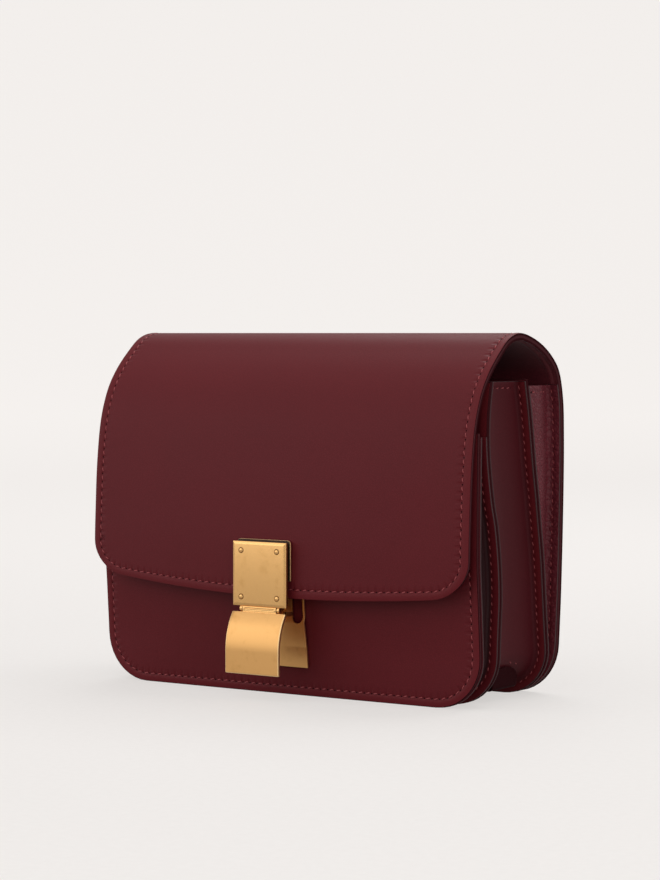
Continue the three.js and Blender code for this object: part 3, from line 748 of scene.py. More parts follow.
def leather(name, tone, deep, roughness, grain, relief, band_tone=None, specular=0.3, sheen=0.0,
            crease=0.3, pucker=0.0):
    """A leather with its own grain scale, relief and gloss."""
    material, tree, shader = new_material(name)
    link = tree.links.new
    place_at = node(tree, "ShaderNodeTexCoord")
    fine = node(tree, "ShaderNodeGroup")
    fine.node_tree = grain_group
    fine.inputs["Pore Scale"].default_value = grain
    fine.inputs["Crease Scale"].default_value = grain * 0.4
    fine.inputs["Crease Share"].default_value = crease
    link(place_at.outputs["Object"], fine.inputs["Vector"])
    colours = node(tree, "ShaderNodeMix", {"A": (*deep, 1), "B": (*tone, 1)}, data_type="RGBA")
    link(fine.outputs["Tone"], colours.inputs["Factor"])
    colour = colours.outputs["Result"]
    if band_tone:
        band = node(tree, "ShaderNodeGroup")
        band.node_tree = band_group
        lighter = node(tree, "ShaderNodeMix", {"B": (*band_tone, 1)}, data_type="RGBA")
        link(band.outputs["Band"], lighter.inputs["Factor"])
        link(colour, lighter.inputs["A"])
        colour = lighter.outputs["Result"]
    pressed = node(tree, "ShaderNodeMapRange",
                   {"From Min": 0.3, "From Max": 0.7, "To Min": 0.86, "To Max": 1})
    link(fine.outputs["Height"], pressed.inputs["Value"])
    shaded = node(tree, "ShaderNodeMix", {"Factor": 1.0}, data_type="RGBA", blend_type="MULTIPLY")
    link(colour, shaded.inputs["A"])
    link(pressed.outputs["Result"], shaded.inputs["B"])
    link(shaded.outputs["Result"], shader.inputs["Base Color"])
    rough = node(tree, "ShaderNodeMapRange", {"To Min": roughness - 0.05, "To Max": roughness + 0.05})
    link(fine.outputs["Tone"], rough.inputs["Value"])
    link(rough.outputs["Result"], shader.inputs["Roughness"])
    bump = node(tree, "ShaderNodeBump", {"Strength": relief, "Distance": GRAIN_DEPTH})
    link(fine.outputs["Height"], bump.inputs["Height"])
    if pucker:
        pulled = node(tree, "ShaderNodeGroup")
        pulled.node_tree = pucker_group
        drawn = node(tree, "ShaderNodeBump", {"Strength": pucker, "Distance": GRAIN_DEPTH})
        link(pulled.outputs["Height"], drawn.inputs["Height"])
        link(drawn.outputs["Normal"], bump.inputs["Normal"])
    link(bump.outputs["Normal"], shader.inputs["Normal"])
    shader.inputs["Specular IOR Level"].default_value = specular
    shader.inputs["Sheen Weight"].default_value = sheen
    shader.inputs["Sheen Roughness"].default_value = 0.4
    return material


def plain(name, colour, roughness, scale=900, relief=0.15, vary=0.2, metallic=0.0, specular=0.5):
    """A small finish such as edge paint or thread, with a fine uneven tone."""
    material, tree, shader = new_material(name)
    link = tree.links.new
    place_at = node(tree, "ShaderNodeTexCoord")
    speckle = node(tree, "ShaderNodeTexNoise", {"Scale": scale, "Detail": 2})
    link(place_at.outputs["Object"], speckle.inputs["Vector"])
    dark = [channel * (1 - vary) for channel in colour]
    light = [min(channel * (1 + vary), 1) for channel in colour]
    colours = node(tree, "ShaderNodeMix", {"A": (*dark, 1), "B": (*light, 1)}, data_type="RGBA")
    link(speckle.outputs["Fac"], colours.inputs["Factor"])
    link(colours.outputs["Result"], shader.inputs["Base Color"])
    bump = node(tree, "ShaderNodeBump", {"Strength": relief, "Distance": 0.0002})
    link(speckle.outputs["Fac"], bump.inputs["Height"])
    link(bump.outputs["Normal"], shader.inputs["Normal"])
    shader.inputs["Roughness"].default_value = roughness
    shader.inputs["Metallic"].default_value = metallic
    shader.inputs["Specular IOR Level"].default_value = specular
    return material


def brass(name, colour, tarnish, roughness, stretch, relief):
    """Polished brass with faint tarnish and a fine texture: lines across its width or an even grain."""
    material, tree, shader = new_material(name)
    link = tree.links.new
    place_at = node(tree, "ShaderNodeTexCoord")
    clouds = node(tree, "ShaderNodeTexNoise", {"Scale": 180, "Detail": 4, "Roughness": 0.6})
    link(place_at.outputs["Object"], clouds.inputs["Vector"])
    mask = node(tree, "ShaderNodeMapRange", {"From Min": 0.5, "From Max": 0.8, "To Min": 0, "To Max": 0.5},
                interpolation_type="SMOOTHSTEP")
    link(clouds.outputs["Fac"], mask.inputs["Value"])
    colours = node(tree, "ShaderNodeMix", {"A": (*colour, 1), "B": (*tarnish, 1)}, data_type="RGBA")
    link(mask.outputs["Result"], colours.inputs["Factor"])
    link(colours.outputs["Result"], shader.inputs["Base Color"])
    stretched = node(tree, "ShaderNodeMapping", {"Scale": stretch})
    link(place_at.outputs["Object"], stretched.inputs["Vector"])
    lines = node(tree, "ShaderNodeTexNoise", {"Scale": 1, "Detail": 3, "Roughness": 0.7})
    link(stretched.outputs["Vector"], lines.inputs["Vector"])
    rough = node(tree, "ShaderNodeMapRange", {"To Min": roughness - 0.02, "To Max": roughness + 0.03})
    link(lines.outputs["Fac"], rough.inputs["Value"])
    link(rough.outputs["Result"], shader.inputs["Roughness"])
    bump = node(tree, "ShaderNodeBump", {"Strength": relief, "Distance": 0.0001})
    link(lines.outputs["Fac"], bump.inputs["Height"])
    link(bump.outputs["Normal"], shader.inputs["Normal"])
    shader.inputs["Metallic"].default_value = 1
    return material


grain_group = leather_grain()
band_group = edge_band()
pucker_group = stitch_pucker()
calf = leather(
    "smooth_burgundy_calf", (0.132, 0.0125, 0.0175), (0.112, 0.0098, 0.014), roughness=0.47,
    grain=2400, relief=0.1, band_tone=(0.132, 0.0115, 0.016), specular=0.13, pucker=0.7)
inner_calf = leather(
    "burgundy_lining_calf", (0.15, 0.019, 0.027), (0.11, 0.014, 0.021), roughness=0.45,
    grain=1700, relief=0.18, specular=0.4, sheen=0.15)
# Front gusset: a near-black web, painted shade in the deep fold between front panel and divider, with a
# deep red band on its flanges
shaded_recess_calf = leather(
    "painted_shade_gusset_calf", (0.035, 0.005, 0.007), (0.024, 0.0035, 0.005), roughness=0.5,
    grain=1700, relief=0.15, band_tone=(0.14, 0.0115, 0.0165), specular=0.15)
gusset_calf = leather(
    "smooth_gusset_calf", (0.088, 0.0088, 0.0135), (0.073, 0.0072, 0.011), roughness=0.5,
    grain=2200, relief=0.12, band_tone=(0.15, 0.0135, 0.018), specular=0.12)
grained_calf = leather(
    "soft_grained_leather", (0.178, 0.024, 0.037), (0.115, 0.013, 0.02), roughness=0.46,
    grain=1100, relief=1.0, specular=0.22, sheen=0.04, crease=0.7)
edge_paint = plain("edge_paint", (0.04, 0.0085, 0.0105), 0.5, relief=0.05, specular=0.0)
edge_line = plain("edge_paint_centre", (0.075, 0.021, 0.025), 0.5, relief=0.1, specular=0.01)
raw_edge = plain("gusset_cut_edge", (0.04, 0.0065, 0.009), 0.55, relief=0.3, specular=0.25)
# Near-black leather for the tab at the middle gusset's foot: painted shade where the gusset turns under the
# bag
shaded_patch_calf = plain("painted_shade_gusset_patch", (0.026, 0.004, 0.0055), 0.65, scale=1200, relief=0.2, specular=0.02)
thread_finish = plain("burgundy_thread", (0.34, 0.07, 0.075), 0.55, scale=3000, relief=0.4, specular=0.25)
# Near-black for the pricking marks: painted shade in the stitch holes
hole_shade_finish = plain("painted_shade_pricking_marks", (0.01, 0.002, 0.003), 0.9, relief=0, specular=0.05)
slot_brass = plain("shaded_brass", (0.035, 0.017, 0.008), 0.45, scale=400, relief=0.1, metallic=0.6)
# Dark brass for the clasp's body: painted shade and painted dark reflection of the leather on its sides
# between plate and backing
shaded_side_brass = plain("painted_shade_side_brass", (0.3, 0.145, 0.05), 0.35, scale=300, relief=0.1, vary=0.45, metallic=0.9)
plate_brass = brass("polished_brass", (0.83, 0.485, 0.188), (0.66, 0.345, 0.105), 0.25, EVEN_GRAIN, 0.012)
# Lighter brass for the rims of the plates and the leaf: a painted highlight along their edges
highlight_rim_brass = brass("painted_highlight_brass_rim", (1, 0.68, 0.33), (0.88, 0.52, 0.2), 0.36, EVEN_GRAIN, 0.01)
leaf_brass = brass("satin_brass", (0.74, 0.41, 0.15), (0.56, 0.285, 0.081), 0.35, LINES_ACROSS, 0.02)
# Dark brass for the ring round each rivet head: painted shade in the groove round it
rivet_shade_brass = plain("painted_shade_rivet_ring", (0.2, 0.1, 0.03), 0.4, metallic=0.8)


# Leather pieces

ARCH_HEIGHT = 110


def cover():
    """Back, top and flap in one sheet, with its rows closest together over the arch."""
    arch_start = cover_length_at(ARCH_HEIGHT, False)
    arch_end = cover_length_at(ARCH_HEIGHT, True)
    stations = (
        spread(CORNER_RADIUS, arch_start, 4)
        + spread(arch_start, arch_end, 1.6)[1:]
        + spread(arch_end, cover_length - FLAP_CORNER_RADIUS, 3)[1:]
    )
    rows, columns, flat = pattern(cover_length, CORNER_RADIUS, FLAP_CORNER_RADIUS, stations)
    stitches = stitch_counter(COVER_SEAM, cover_surface, STITCH_PITCH)

    def point(row, column):
        x, length, distance = flat(row, column)
        return cover_surface(-x, length, edge_lift(distance)), distance, stitches(-x, length)

    piece = grid(rows, columns, point)
    wall(piece, COVER_WALL, rounding=0.75, materials=[calf, edge_paint, inner_calf, edge_line], groove=0.95)
    return finish_piece(piece, "flap_and_back_leather", "bag", [], ["flap_top_and_back"])


def cover_surface(x, length, lift):
    return cover_point(x, flap_length(x, length), COVER_WALL + lift)


def cover_lining(x, length, lift):
    return cover_point(x, flap_length(x, length), -lift)


def panel(name, top, face, thickness, rounding, groove, replaces, finish, front_fill=0):
    """A panel whose front face carries the roll of its seam.

    It is filled out to the flanges that are sewn to it, so that no gap shows at its edge."""
    stations = spread(CORNER_RADIUS, top, 3.5)
    rows, columns, flat = pattern(top, CORNER_RADIUS, 0, stations)
    seam_path = outline_path(top, CORNER_RADIUS, 0, SEAM_INSET, 1)
    stitches = stitch_counter(seam_path, lambda x, z, lift: (x, face(x, z), z), STITCH_PITCH)

    def point(row, column):
        x, z, distance = flat(row, column)
        lift = edge_lift(distance) if front_fill == 0 else front_fill
        return (x, face(x, z) - lift, z), distance, stitches(x, z)

    piece = grid(rows, columns, point)
    materials = [finish, edge_paint, finish, edge_line]
    wall(piece, thickness + front_fill + SEAM_FILL, rounding, materials, groove)
    return finish_piece(piece, name, "bag", [], [replaces])


def fold_sizes(space):
    """Radius of a gusset's folds and depth of its tuck, where two panels have this space."""
    return min(FOLD_RADIUS, FOLD_SHARE * space), min(TUCK_DEPTH, TUCK_SHARE * space)


def gusset_section(space, folds, puff):
    """Distances in and back across a gusset, from the front panel's edge to the back one's."""
    radius, depth = fold_sizes(space)
    flat_end = GUSSET_INSET - radius
    front = [(inwards * flat_end / FLANGE_REACH, back) for inwards, back in FLANGE_ROLL]
    for step in range(6):
        angle = step / 5 * math.pi / 2
        front.append((flat_end + radius * math.sin(angle), radius * (1 - math.cos(angle))))
    back = [(inwards, space - distance) for inwards, distance in front][::-1]
    web = []
    for step in range(1, 16):
        across = step / 16
        fold = along(WEB_FOLDS, "across", folds, across)
        bulge = puff * math.sin(math.pi * across)
        web.append((GUSSET_INSET + depth * fold - bulge, radius + (space - 2 * radius) * across))
    return front + web + back


def gusset_steps(top):
    """Places down the left side, along the foot and up the right side, with the way into the bag."""
    half = BAG_WIDTH / 2
    near_top = [top - drop for drop in (0, 0.5, 1.1, 1.8, 2.4, 2.7, 2.9, 3.1, 3.4, 4, 5)]
    sides = near_top + spread(CORNER_RADIUS, top - 5, 3)[::-1][1:]
    steps = [(-half, z, 1, 0) for z in sides]
    for step in range(1, CORNER_PARTS + 1):
        angle = math.pi / 2 * (1 - step / CORNER_PARTS)
        steps.append((
            -half + CORNER_RADIUS * (1 - math.sin(angle)),
            CORNER_RADIUS * (1 - math.cos(angle)),
            math.sin(angle),
            math.cos(angle),
        ))
    foot = [(x, 0, 0, 1) for x in spread(-half + CORNER_RADIUS, half - CORNER_RADIUS, 8)[1:-1]]
    mirrored = [(-x, z, -in_x, in_z) for x, z, in_x, in_z in steps][::-1]
    return steps + foot + mirrored


def gusset(name, top, folds, panel_back, panel_front, finish, replaces, puff=0.0, crumple=0.0):
    """A U-shaped gusset between the back of one panel and the front of the next.

    Its web may puff out and crumple, and each of its two upper ends has a stitched hem."""
    steps = gusset_steps(top)
    sections = []
    for x, z, in_x, in_z in steps:
        space = panel_front(x, z) - panel_back(x, z) - 2 * FLANGE
        sections.append((space, gusset_section(space, folds, puff)))

    def point(row, column):
        x, z, in_x, in_z = steps[row]
        space, section = sections[row]
        inwards, back = section[column]
        drop = top - z
        web = min(max(back / space * (1 - back / space) * 8, 0), 1)
        dip = (HEM_DIP * math.exp(-((drop - HEM_DROP) / HEM_DIP_REACH) ** 2)
               - HEM_ROLL * math.exp(-((drop - HEM_ROLL_DROP) / HEM_ROLL_REACH) ** 2))
        wrinkle = 0
        if crumple:
            spot = Vector((x * WRINKLE_RATE[0], back * WRINKLE_RATE[1], z * WRINKLE_RATE[2]))
            broad = noise.noise(spot * BROAD_WRINKLES)
            wrinkle = crumple * (broad + 0.5 * noise.noise(spot * FINE_WRINKLES))
        inwards += web * (dip - wrinkle)
        px = x + inwards * in_x
        pz = z + inwards * in_z
        front_line = panel_back(px, pz) + FLANGE
        back_line = panel_front(px, pz) - FLANGE
        if back <= 0:
            y = front_line + back
        elif back >= space:
            y = back_line + back - space
        else:
            y = front_line + (back_line - front_line) * back / space
        return (px, y, pz), min(inwards, FAR_IN), 0

    piece = grid(len(steps), len(sections[0][1]), point)
    wall(piece, GUSSET_WALL, rounding=0.3, materials=[finish, raw_edge, inner_calf])
    finish_piece(piece, name, "bag", [], [replaces])

    def web_place(across, z, lift):
        space = panel_front(BAG_WIDTH / 2, z) - panel_back(BAG_WIDTH / 2, z) - 2 * FLANGE
        radius, depth = fold_sizes(space)
        inwards = GUSSET_INSET + depth * along(WEB_FOLDS, "across", folds, across)
        inwards -= puff * math.sin(math.pi * across) + lift
        x = BAG_WIDTH / 2 - inwards
        front_line = panel_back(x, z) + FLANGE
        back_line = panel_front(x, z) - FLANGE
        return x, front_line + (back_line - front_line) * (radius + (space - 2 * radius) * across) / space

    for side, word in ((1, "right"), (-1, "left")):
        path = [(across, top - HEM_DROP) for across in spread(0.04, 0.96, 0.06)]

        def hem(across, z, lift):
            x, y = web_place(across, z, lift)
            return (side * x, y, z)

        seam(f"{name}_hem_{word}", path, hem, GUSSET_PITCH, slant=14 * side)
    return piece


# The tab, dark with painted shade: its half width and middle from front to back, its height, its upright
# face
PATCH_HALF = 10.4
PATCH_CENTRE = 36.8
PATCH_TOP = 14.6
PATCH_FOOT = 5
PATCH_ARCH = 5.4
PATCH_FACE = 90.5
PATCH_LEAN = 0.5
PATCH_BEND = 1.6
PATCH_WALL = 0.7
# Its two stitches: how far behind the first pricked hole, and how high
PATCH_HOLE = 0.7
PATCH_STITCHES = ((3.2, 16.1), (7.6, 15.3))
PATCH_STITCH = 2.2


def foot_patch():
    """Tab under the middle gusset that ends in an arch at each lower corner, dark all over as painted shade
    where the gusset turns under.
    """
    corner = []
    for step in range(15):
        down = (PATCH_TOP - PATCH_FOOT - PATCH_BEND) * step / 14
        height = max(1 - down / PATCH_ARCH, 0)
        half = PATCH_HALF * math.sqrt(max(1 - height ** 2, 0.0004))
        corner.append((PATCH_FACE - PATCH_LEAN * (step / 14) ** 2, PATCH_TOP - down, half))
    for step in range(1, 7):
        turn = math.pi / 2 * step / 6
        corner.append((
            PATCH_FACE - PATCH_LEAN - PATCH_BEND * (1 - math.cos(turn)),
            PATCH_FOOT + PATCH_BEND * (1 - math.sin(turn)),
            PATCH_HALF,
        ))
    half_strip = corner + [(x, PATCH_FOOT, PATCH_HALF) for x in spread(0, PATCH_FACE - 4, 10)[::-1]]
    places = [(1, *spot) for spot in half_strip]
    places += [(-1, *spot) for spot in half_strip[::-1][1:]]

    def point(row, column):
        side, x, z, half = places[row]
        return (side * x, PATCH_CENTRE + half * (column / 8 - 1), z), FAR_IN, 0

    piece = grid(len(places), 17, point)
    apply(piece, "SOLIDIFY", thickness=PATCH_WALL * MM, offset=0)
    round_edges(piece, 0.16, 2, 50)
    outward(piece)
    soften(piece, 50)
    finish_piece(piece, "middle_gusset_patch", "bag", [shaded_patch_calf])
    for side, word in ((1, "right"), (-1, "left")):
        spots = []
        for offset, height in PATCH_STITCHES:
            x = side * (PATCH_FACE + 0.25 + offset * 0.05)
            turn = Matrix.Rotation(side * math.pi / 2, 4, "Y") @ Matrix.Rotation(math.radians(50), 4, "Z")
            position = place((x, PATCH_CENTRE + PATCH_HOLE + offset, height))
            spots.append(Matrix.Translation(position) @ Matrix.Scale(MM, 4) @ turn)
        threads = copies(f"patch_threads_{word}", model_stitch(PATCH_STITCH), spots)
        finish_piece(threads, f"patch_threads_{word}", "bag", [thread_finish])


foot_patch()
COVER_SEAM = outline_path(cover_length, CORNER_RADIUS, FLAP_CORNER_RADIUS, SEAM_INSET)
cover()
panel("front_panel_leather", FRONT_PANEL_TOP, front_panel_face, PANEL_WALL, rounding=0.55, groove=0.6,
      replaces="front_panel", finish=calf)
panel("front_divider_leather", MIDDLE_TOP, front_divider_face, DIVIDER_WALL, rounding=0.38, groove=None,
      replaces="front_divider", finish=gusset_calf, front_fill=SEAM_FILL)
panel("back_divider_leather", BACK_DIVIDER_TOP, back_divider_face, DIVIDER_WALL, rounding=0.38, groove=None,
      replaces="back_divider", finish=gusset_calf, front_fill=SEAM_FILL)
gusset("front_gusset_leather", FRONT_GUSSET_TOP, "front", front_panel_back, front_divider_face,
       shaded_recess_calf, "front_gusset")
gusset("middle_gusset_leather", MIDDLE_TOP, "middle", front_divider_back, back_divider_face,
       gusset_calf, "middle_gusset")
gusset("back_gusset_leather", BACK_GUSSET_TOP, "back", back_divider_back, cover_back_face,
       grained_calf, "back_gusset", puff=0.5, crumple=0.5)

# Seams of the cover and the panels. Inside, the cover's seam shows under the arch, between two heights
ARCH_SEAM_BACK = 134
ARCH_SEAM_FRONT = 100
seam("cover_seam", COVER_SEAM, cover_surface, STITCH_PITCH, closed=True)
arch_start = cover_length_at(ARCH_SEAM_BACK, False)
arch_end = cover_length_at(ARCH_SEAM_FRONT, True)
arch_stations = spread(arch_start, arch_end, DOWN_STEP)
for side, word in ((1, "right"), (-1, "left")):
    arch_path = [(side * (BAG_WIDTH / 2 - SEAM_INSET), station) for station in arch_stations]
    seam(f"arch_seam_{word}", arch_path, cover_lining, STITCH_PITCH, slant=-15)
seam("front_panel_seam", outline_path(FRONT_PANEL_TOP, CORNER_RADIUS, 0, SEAM_INSET, 1),
     lambda x, z, lift: (x, front_panel_face(x, z) - lift, z), STITCH_PITCH)

# Seams through the flanges of the gussets: on the front flange they face back, on the back flange front
FLANGES = [
    ("front_gusset", FRONT_GUSSET_TOP, front_panel_back, front_divider_face),
    ("middle_gusset", MIDDLE_TOP, front_divider_back, back_divider_face),
    ("back_gusset", BACK_GUSSET_TOP, back_divider_back, cover_back_face),
]
for name, top, panel_back, panel_front in FLANGES:
    path = outline_path(top, CORNER_RADIUS, 0, FLANGE_SEAM_INSET, 1)
    seam(f"{name}_front_seam", path,
         lambda x, z, lift: (x, panel_back(x, z) + FLANGE + lift, z), GUSSET_PITCH)
    seam(f"{name}_back_seam", path,
         lambda x, z, lift: (x, panel_front(x, z) - FLANGE - lift, z), GUSSET_PITCH)


# The clasp, in millimetres of the whole bag's frame

def box_mm(name):
    """Lower and upper corner of a CAD node."""
    low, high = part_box(name)
    return low / MM, high / MM


def brick(low, high):
    """A block between two corners."""
    deselect()
    bpy.ops.mesh.primitive_cube_add(size=1)
    piece = bpy.context.object
    middle = [(a + b) / 2 * MM for a, b in zip(low, high)]
    size = [(b - a) * MM for a, b in zip(low, high)]
    piece.data.transform(Matrix.Translation(middle) @ Matrix.Diagonal((*size, 1)))
    return piece


def select_faces(piece, test):
    """Edit mode with only the faces selected whose middle and normal pass a test."""
    edit(piece)
    bpy.ops.mesh.select_mode(type="FACE")
    bpy.ops.mesh.select_all(action="DESELECT")
    done()
    for face in piece.data.polygons:
        face.select = test(face.center / MM, face.normal)
    bpy.ops.object.mode_set(mode="EDIT")


def select_edges(piece, test):
    """Edit mode with only the edges selected whose two ends pass a test."""
    edit(piece)
    bpy.ops.mesh.select_mode(type="EDGE")
    bpy.ops.mesh.select_all(action="DESELECT")
    done()
    corners = piece.data.vertices
    for line in piece.data.edges:
        line.select = test(corners[line.vertices[0]].co / MM, corners[line.vertices[1]].co / MM)
    bpy.ops.object.mode_set(mode="EDIT")


def bar(radius, length, centre, sides=48):
    """A rod along x."""
    deselect()
    bpy.ops.mesh.primitive_cylinder_add(vertices=sides, radius=radius * MM, depth=length * MM)
    piece = bpy.context.object
    piece.data.transform(Matrix.Translation(Vector(centre) * MM) @ Matrix.Rotation(math.pi / 2, 4, "Y"))
    return piece


def join(main, *others):
    """Joins pieces into the first of them."""
    deselect()
    for other in others:
        other.select_set(True)
    main.select_set(True)
    bpy.context.view_layer.objects.active = main
    bpy.ops.object.join()
    return main


# Sizes of the clasp's plates, all as wide as its leaf
CLASP_HALF = 14.15
PLATE_WALL = 1.6
PLATE_OVERHANG = 4
PLATE_HEIGHT = 28.4
PLATE_CHAMFER = 1.25
CHAMFER_DEPTH = 0.5
BODY_HALF = 13.2
BODY_FOOT_INSET = 1.8
BODY_TOP_INSET = 1.6
# Hinge: lugs of the plate, collars and ridges of the leaf's sleeve, pin
KNUCKLE_RADIUS = 1.5
LUG_PLACE = 9.85
LUG_WIDTH = 1.3
SLEEVE_LENGTH = 17.8
SLEEVE_RADIUS = 1.32
RIDGE_RADIUS = 0.62
RIDGE_FORWARD = 0.82
RIDGE_HEIGHTS = (0.72, -0.68)
COLLAR_WIDTH = 1.1
PIN_RADIUS = 0.6
# Hook of the lever and keeper of the catch
HOOK_HALF = 6.4
HOOK_WALL = 1.1
HOOK_TIP_WALL = 1.4
HOOK_DROP = 2
KEEPER_HALF = 7.8
KEEPER_DEPTH = 1.5
KEEPER_HEIGHT = 2
KEEPER_GAP = 0.4
CHEEK_WALL = 0.9
plate_low, plate_high = box_mm("clasp_front_plate")
PLATE_FACE = plate_low.y
PLATE_FOOT = FLAP_FOOT - PLATE_OVERHANG
PLATE_TOP = PLATE_FOOT + PLATE_HEIGHT
AXIS_Y = PLATE_FACE + 1.7
AXIS_Z = PLATE_FOOT - 1.3
HOOK_FOOT = AXIS_Z - KNUCKLE_RADIUS + GAP


def front_plate():
    """Plate with a low bevel all round, its body, and the two lugs of the hinge."""
    face = brick((-CLASP_HALF, PLATE_FACE + CHAMFER_DEPTH, PLATE_FOOT),
                 (CLASP_HALF, PLATE_FACE + PLATE_WALL, PLATE_TOP))
    select_faces(face, lambda middle, normal: normal.y < -0.9)
    bpy.ops.mesh.inset(thickness=PLATE_CHAMFER * MM, depth=CHAMFER_DEPTH * MM)
    done()
    round_edges(face, 0.14, 3, 12)
    body = brick((-BODY_HALF, PLATE_FACE + PLATE_WALL - 0.02, PLATE_FOOT + BODY_FOOT_INSET),
                 (BODY_HALF, plate_high.y, PLATE_TOP - BODY_TOP_INSET))
    round_edges(body, 0.2, 2, 30)
    # The body gets the dark brass, painted shade on its sides
    for part, material in ((face, plate_brass), (body, shaded_side_brass)):
        part.data.materials.append(material)
    lugs = []
    for side in (-1, 1):
        lug = bar(KNUCKLE_RADIUS, LUG_WIDTH, (side * LUG_PLACE, AXIS_Y, AXIS_Z))
        round_edges(lug, 0.15, 2, 30)
        root = brick((side * LUG_PLACE - LUG_WIDTH / 2, AXIS_Y - 0.9, AXIS_Z),
                     (side * LUG_PLACE + LUG_WIDTH / 2, AXIS_Y + 1.4, PLATE_FOOT + 2.2))
        for part in (lug, root):
            part.data.materials.append(plate_brass)
            lugs.append(part)
    join(face, body, *lugs)
    soften(face, 25)
    return finish_piece(face, "clasp_plate", "bag", [], ["clasp_front_plate"])


def backing_plate():
    """Thin plate with round upper corners, dark where the front plate shades its face: painted shade on its
    front face, painted highlight on its rims.
    """
    low, high = box_mm("clasp_backing_plate")
    piece = brick(low, high)
    select_edges(piece, lambda a, b: abs(a.x - b.x) < 0.01 and abs(a.z - b.z) < 0.01 and a.z > high.z - 1)
    bpy.ops.mesh.bevel(offset=1.6 * MM, segments=6)
    done()
    round_edges(piece, 0.2, 3, 40)
    soften(piece, 25)
    # Front face in the dark brass as painted shade, the other faces in the lighter brass as painted
    # highlight
    for material in (highlight_rim_brass, slot_brass):
        piece.data.materials.append(material)
    for face in piece.data.polygons:
        face.material_index = 1 if face.normal.y < -0.95 else 0
    return finish_piece(piece, "clasp_backing", "bag", [], ["clasp_backing_plate"])


# A rivet: its head's share of the solid's radius, how far it stands up, the dark ring of painted shade
# round it
HEAD_SHARE = 0.92
HEAD_RISE = 0.62
HEAD_SEAT = 0.03
HEAD_SIDES = 32
HEAD_STEPS = 8
RING_RADIUS = 0.17
RING_SEAT = -0.01


def model_dome():
    """Half a ball of radius one that faces front, flat behind, as points and faces."""
    points = [Vector((0, -1, 0))]
    for step in range(1, HEAD_STEPS + 1):
        slope = step / HEAD_STEPS * math.pi / 2
        for side in range(HEAD_SIDES):
            turn = side / HEAD_SIDES * math.tau
            points.append(Vector((
                math.sin(slope) * math.cos(turn),
                -math.cos(slope),
                math.sin(slope) * math.sin(turn),
            )))
    faces = []
    for side in range(HEAD_SIDES):
        after = (side + 1) % HEAD_SIDES
        faces.append([0, side + 1, after + 1])
        for start in range(1, len(points) - HEAD_SIDES, HEAD_SIDES):
            outer = start + HEAD_SIDES
            faces.append([start + side, outer + side, outer + after, start + after])
    faces.append(list(range(len(points) - 1, len(points) - 1 - HEAD_SIDES, -1)))
    return points, faces


def rivet(name):
    """Domed head in a dark ring of painted shade."""
    low, high = box_mm(name)
    middle_x = (low.x + high.x) / 2
    middle_z = (low.z + high.z) / 2
    radius = (high.x - low.x) / 2
    form = Matrix.Diagonal((radius * MM * HEAD_SHARE, HEAD_RISE * MM, radius * MM * HEAD_SHARE, 1))
    head_place = Vector((middle_x, PLATE_FACE + HEAD_SEAT, middle_z)) * MM
    head = copies(name + "_head", model_dome(), [Matrix.Translation(head_place) @ form])
    soften(head, 50)
    finish_piece(head, name + "_head", "bag", [plate_brass], [name])
    deselect()
    bpy.ops.mesh.primitive_torus_add(major_radius=radius * MM, minor_radius=RING_RADIUS * MM,
                                     major_segments=HEAD_SIDES, minor_segments=8)
    ring = bpy.context.object
    ring_place = Vector((middle_x, PLATE_FACE + RING_SEAT, middle_z)) * MM
    ring.data.transform(Matrix.Translation(ring_place) @ Matrix.Rotation(math.pi / 2, 4, "X"))
    soften(ring, 60)
    finish_piece(ring, name + "_ring", "bag", [rivet_shade_brass])


def hinge_pin():
    """Pin through the lugs and the sleeve."""
    low, high = box_mm("clasp_pin")
    pin = bar(PIN_RADIUS, high.x - low.x, (0, AXIS_Y, AXIS_Z), 24)
    round_edges(pin, 0.12, 2, 30)
    soften(pin, 30)
    finish_piece(pin, "clasp_hinge_pin", "bag", [plate_brass], ["clasp_pin"])


LEAF_RADIUS = 29
LEAF_SWEEP = math.radians(36)
LEAF_TOP = PLATE_FOOT - 2.4
LEAF_FOOT = LEAF_TOP - 26.8
LEAF_WALL = 1.6


def leaf_section(distance):
    """y and z at a distance down the leaf's face: an arc, and a straight part below it."""
    arc = LEAF_RADIUS * LEAF_SWEEP
    straight_from = LEAF_TOP - LEAF_RADIUS * math.sin(LEAF_SWEEP)
    centre = PLATE_FACE + LEAF_RADIUS * math.cos(LEAF_SWEEP)
    if distance < arc:
        angle = LEAF_SWEEP - distance / LEAF_RADIUS
        return centre - LEAF_RADIUS * math.cos(angle), straight_from + LEAF_RADIUS * math.sin(angle)
    return centre - LEAF_RADIUS, straight_from - (distance - arc)


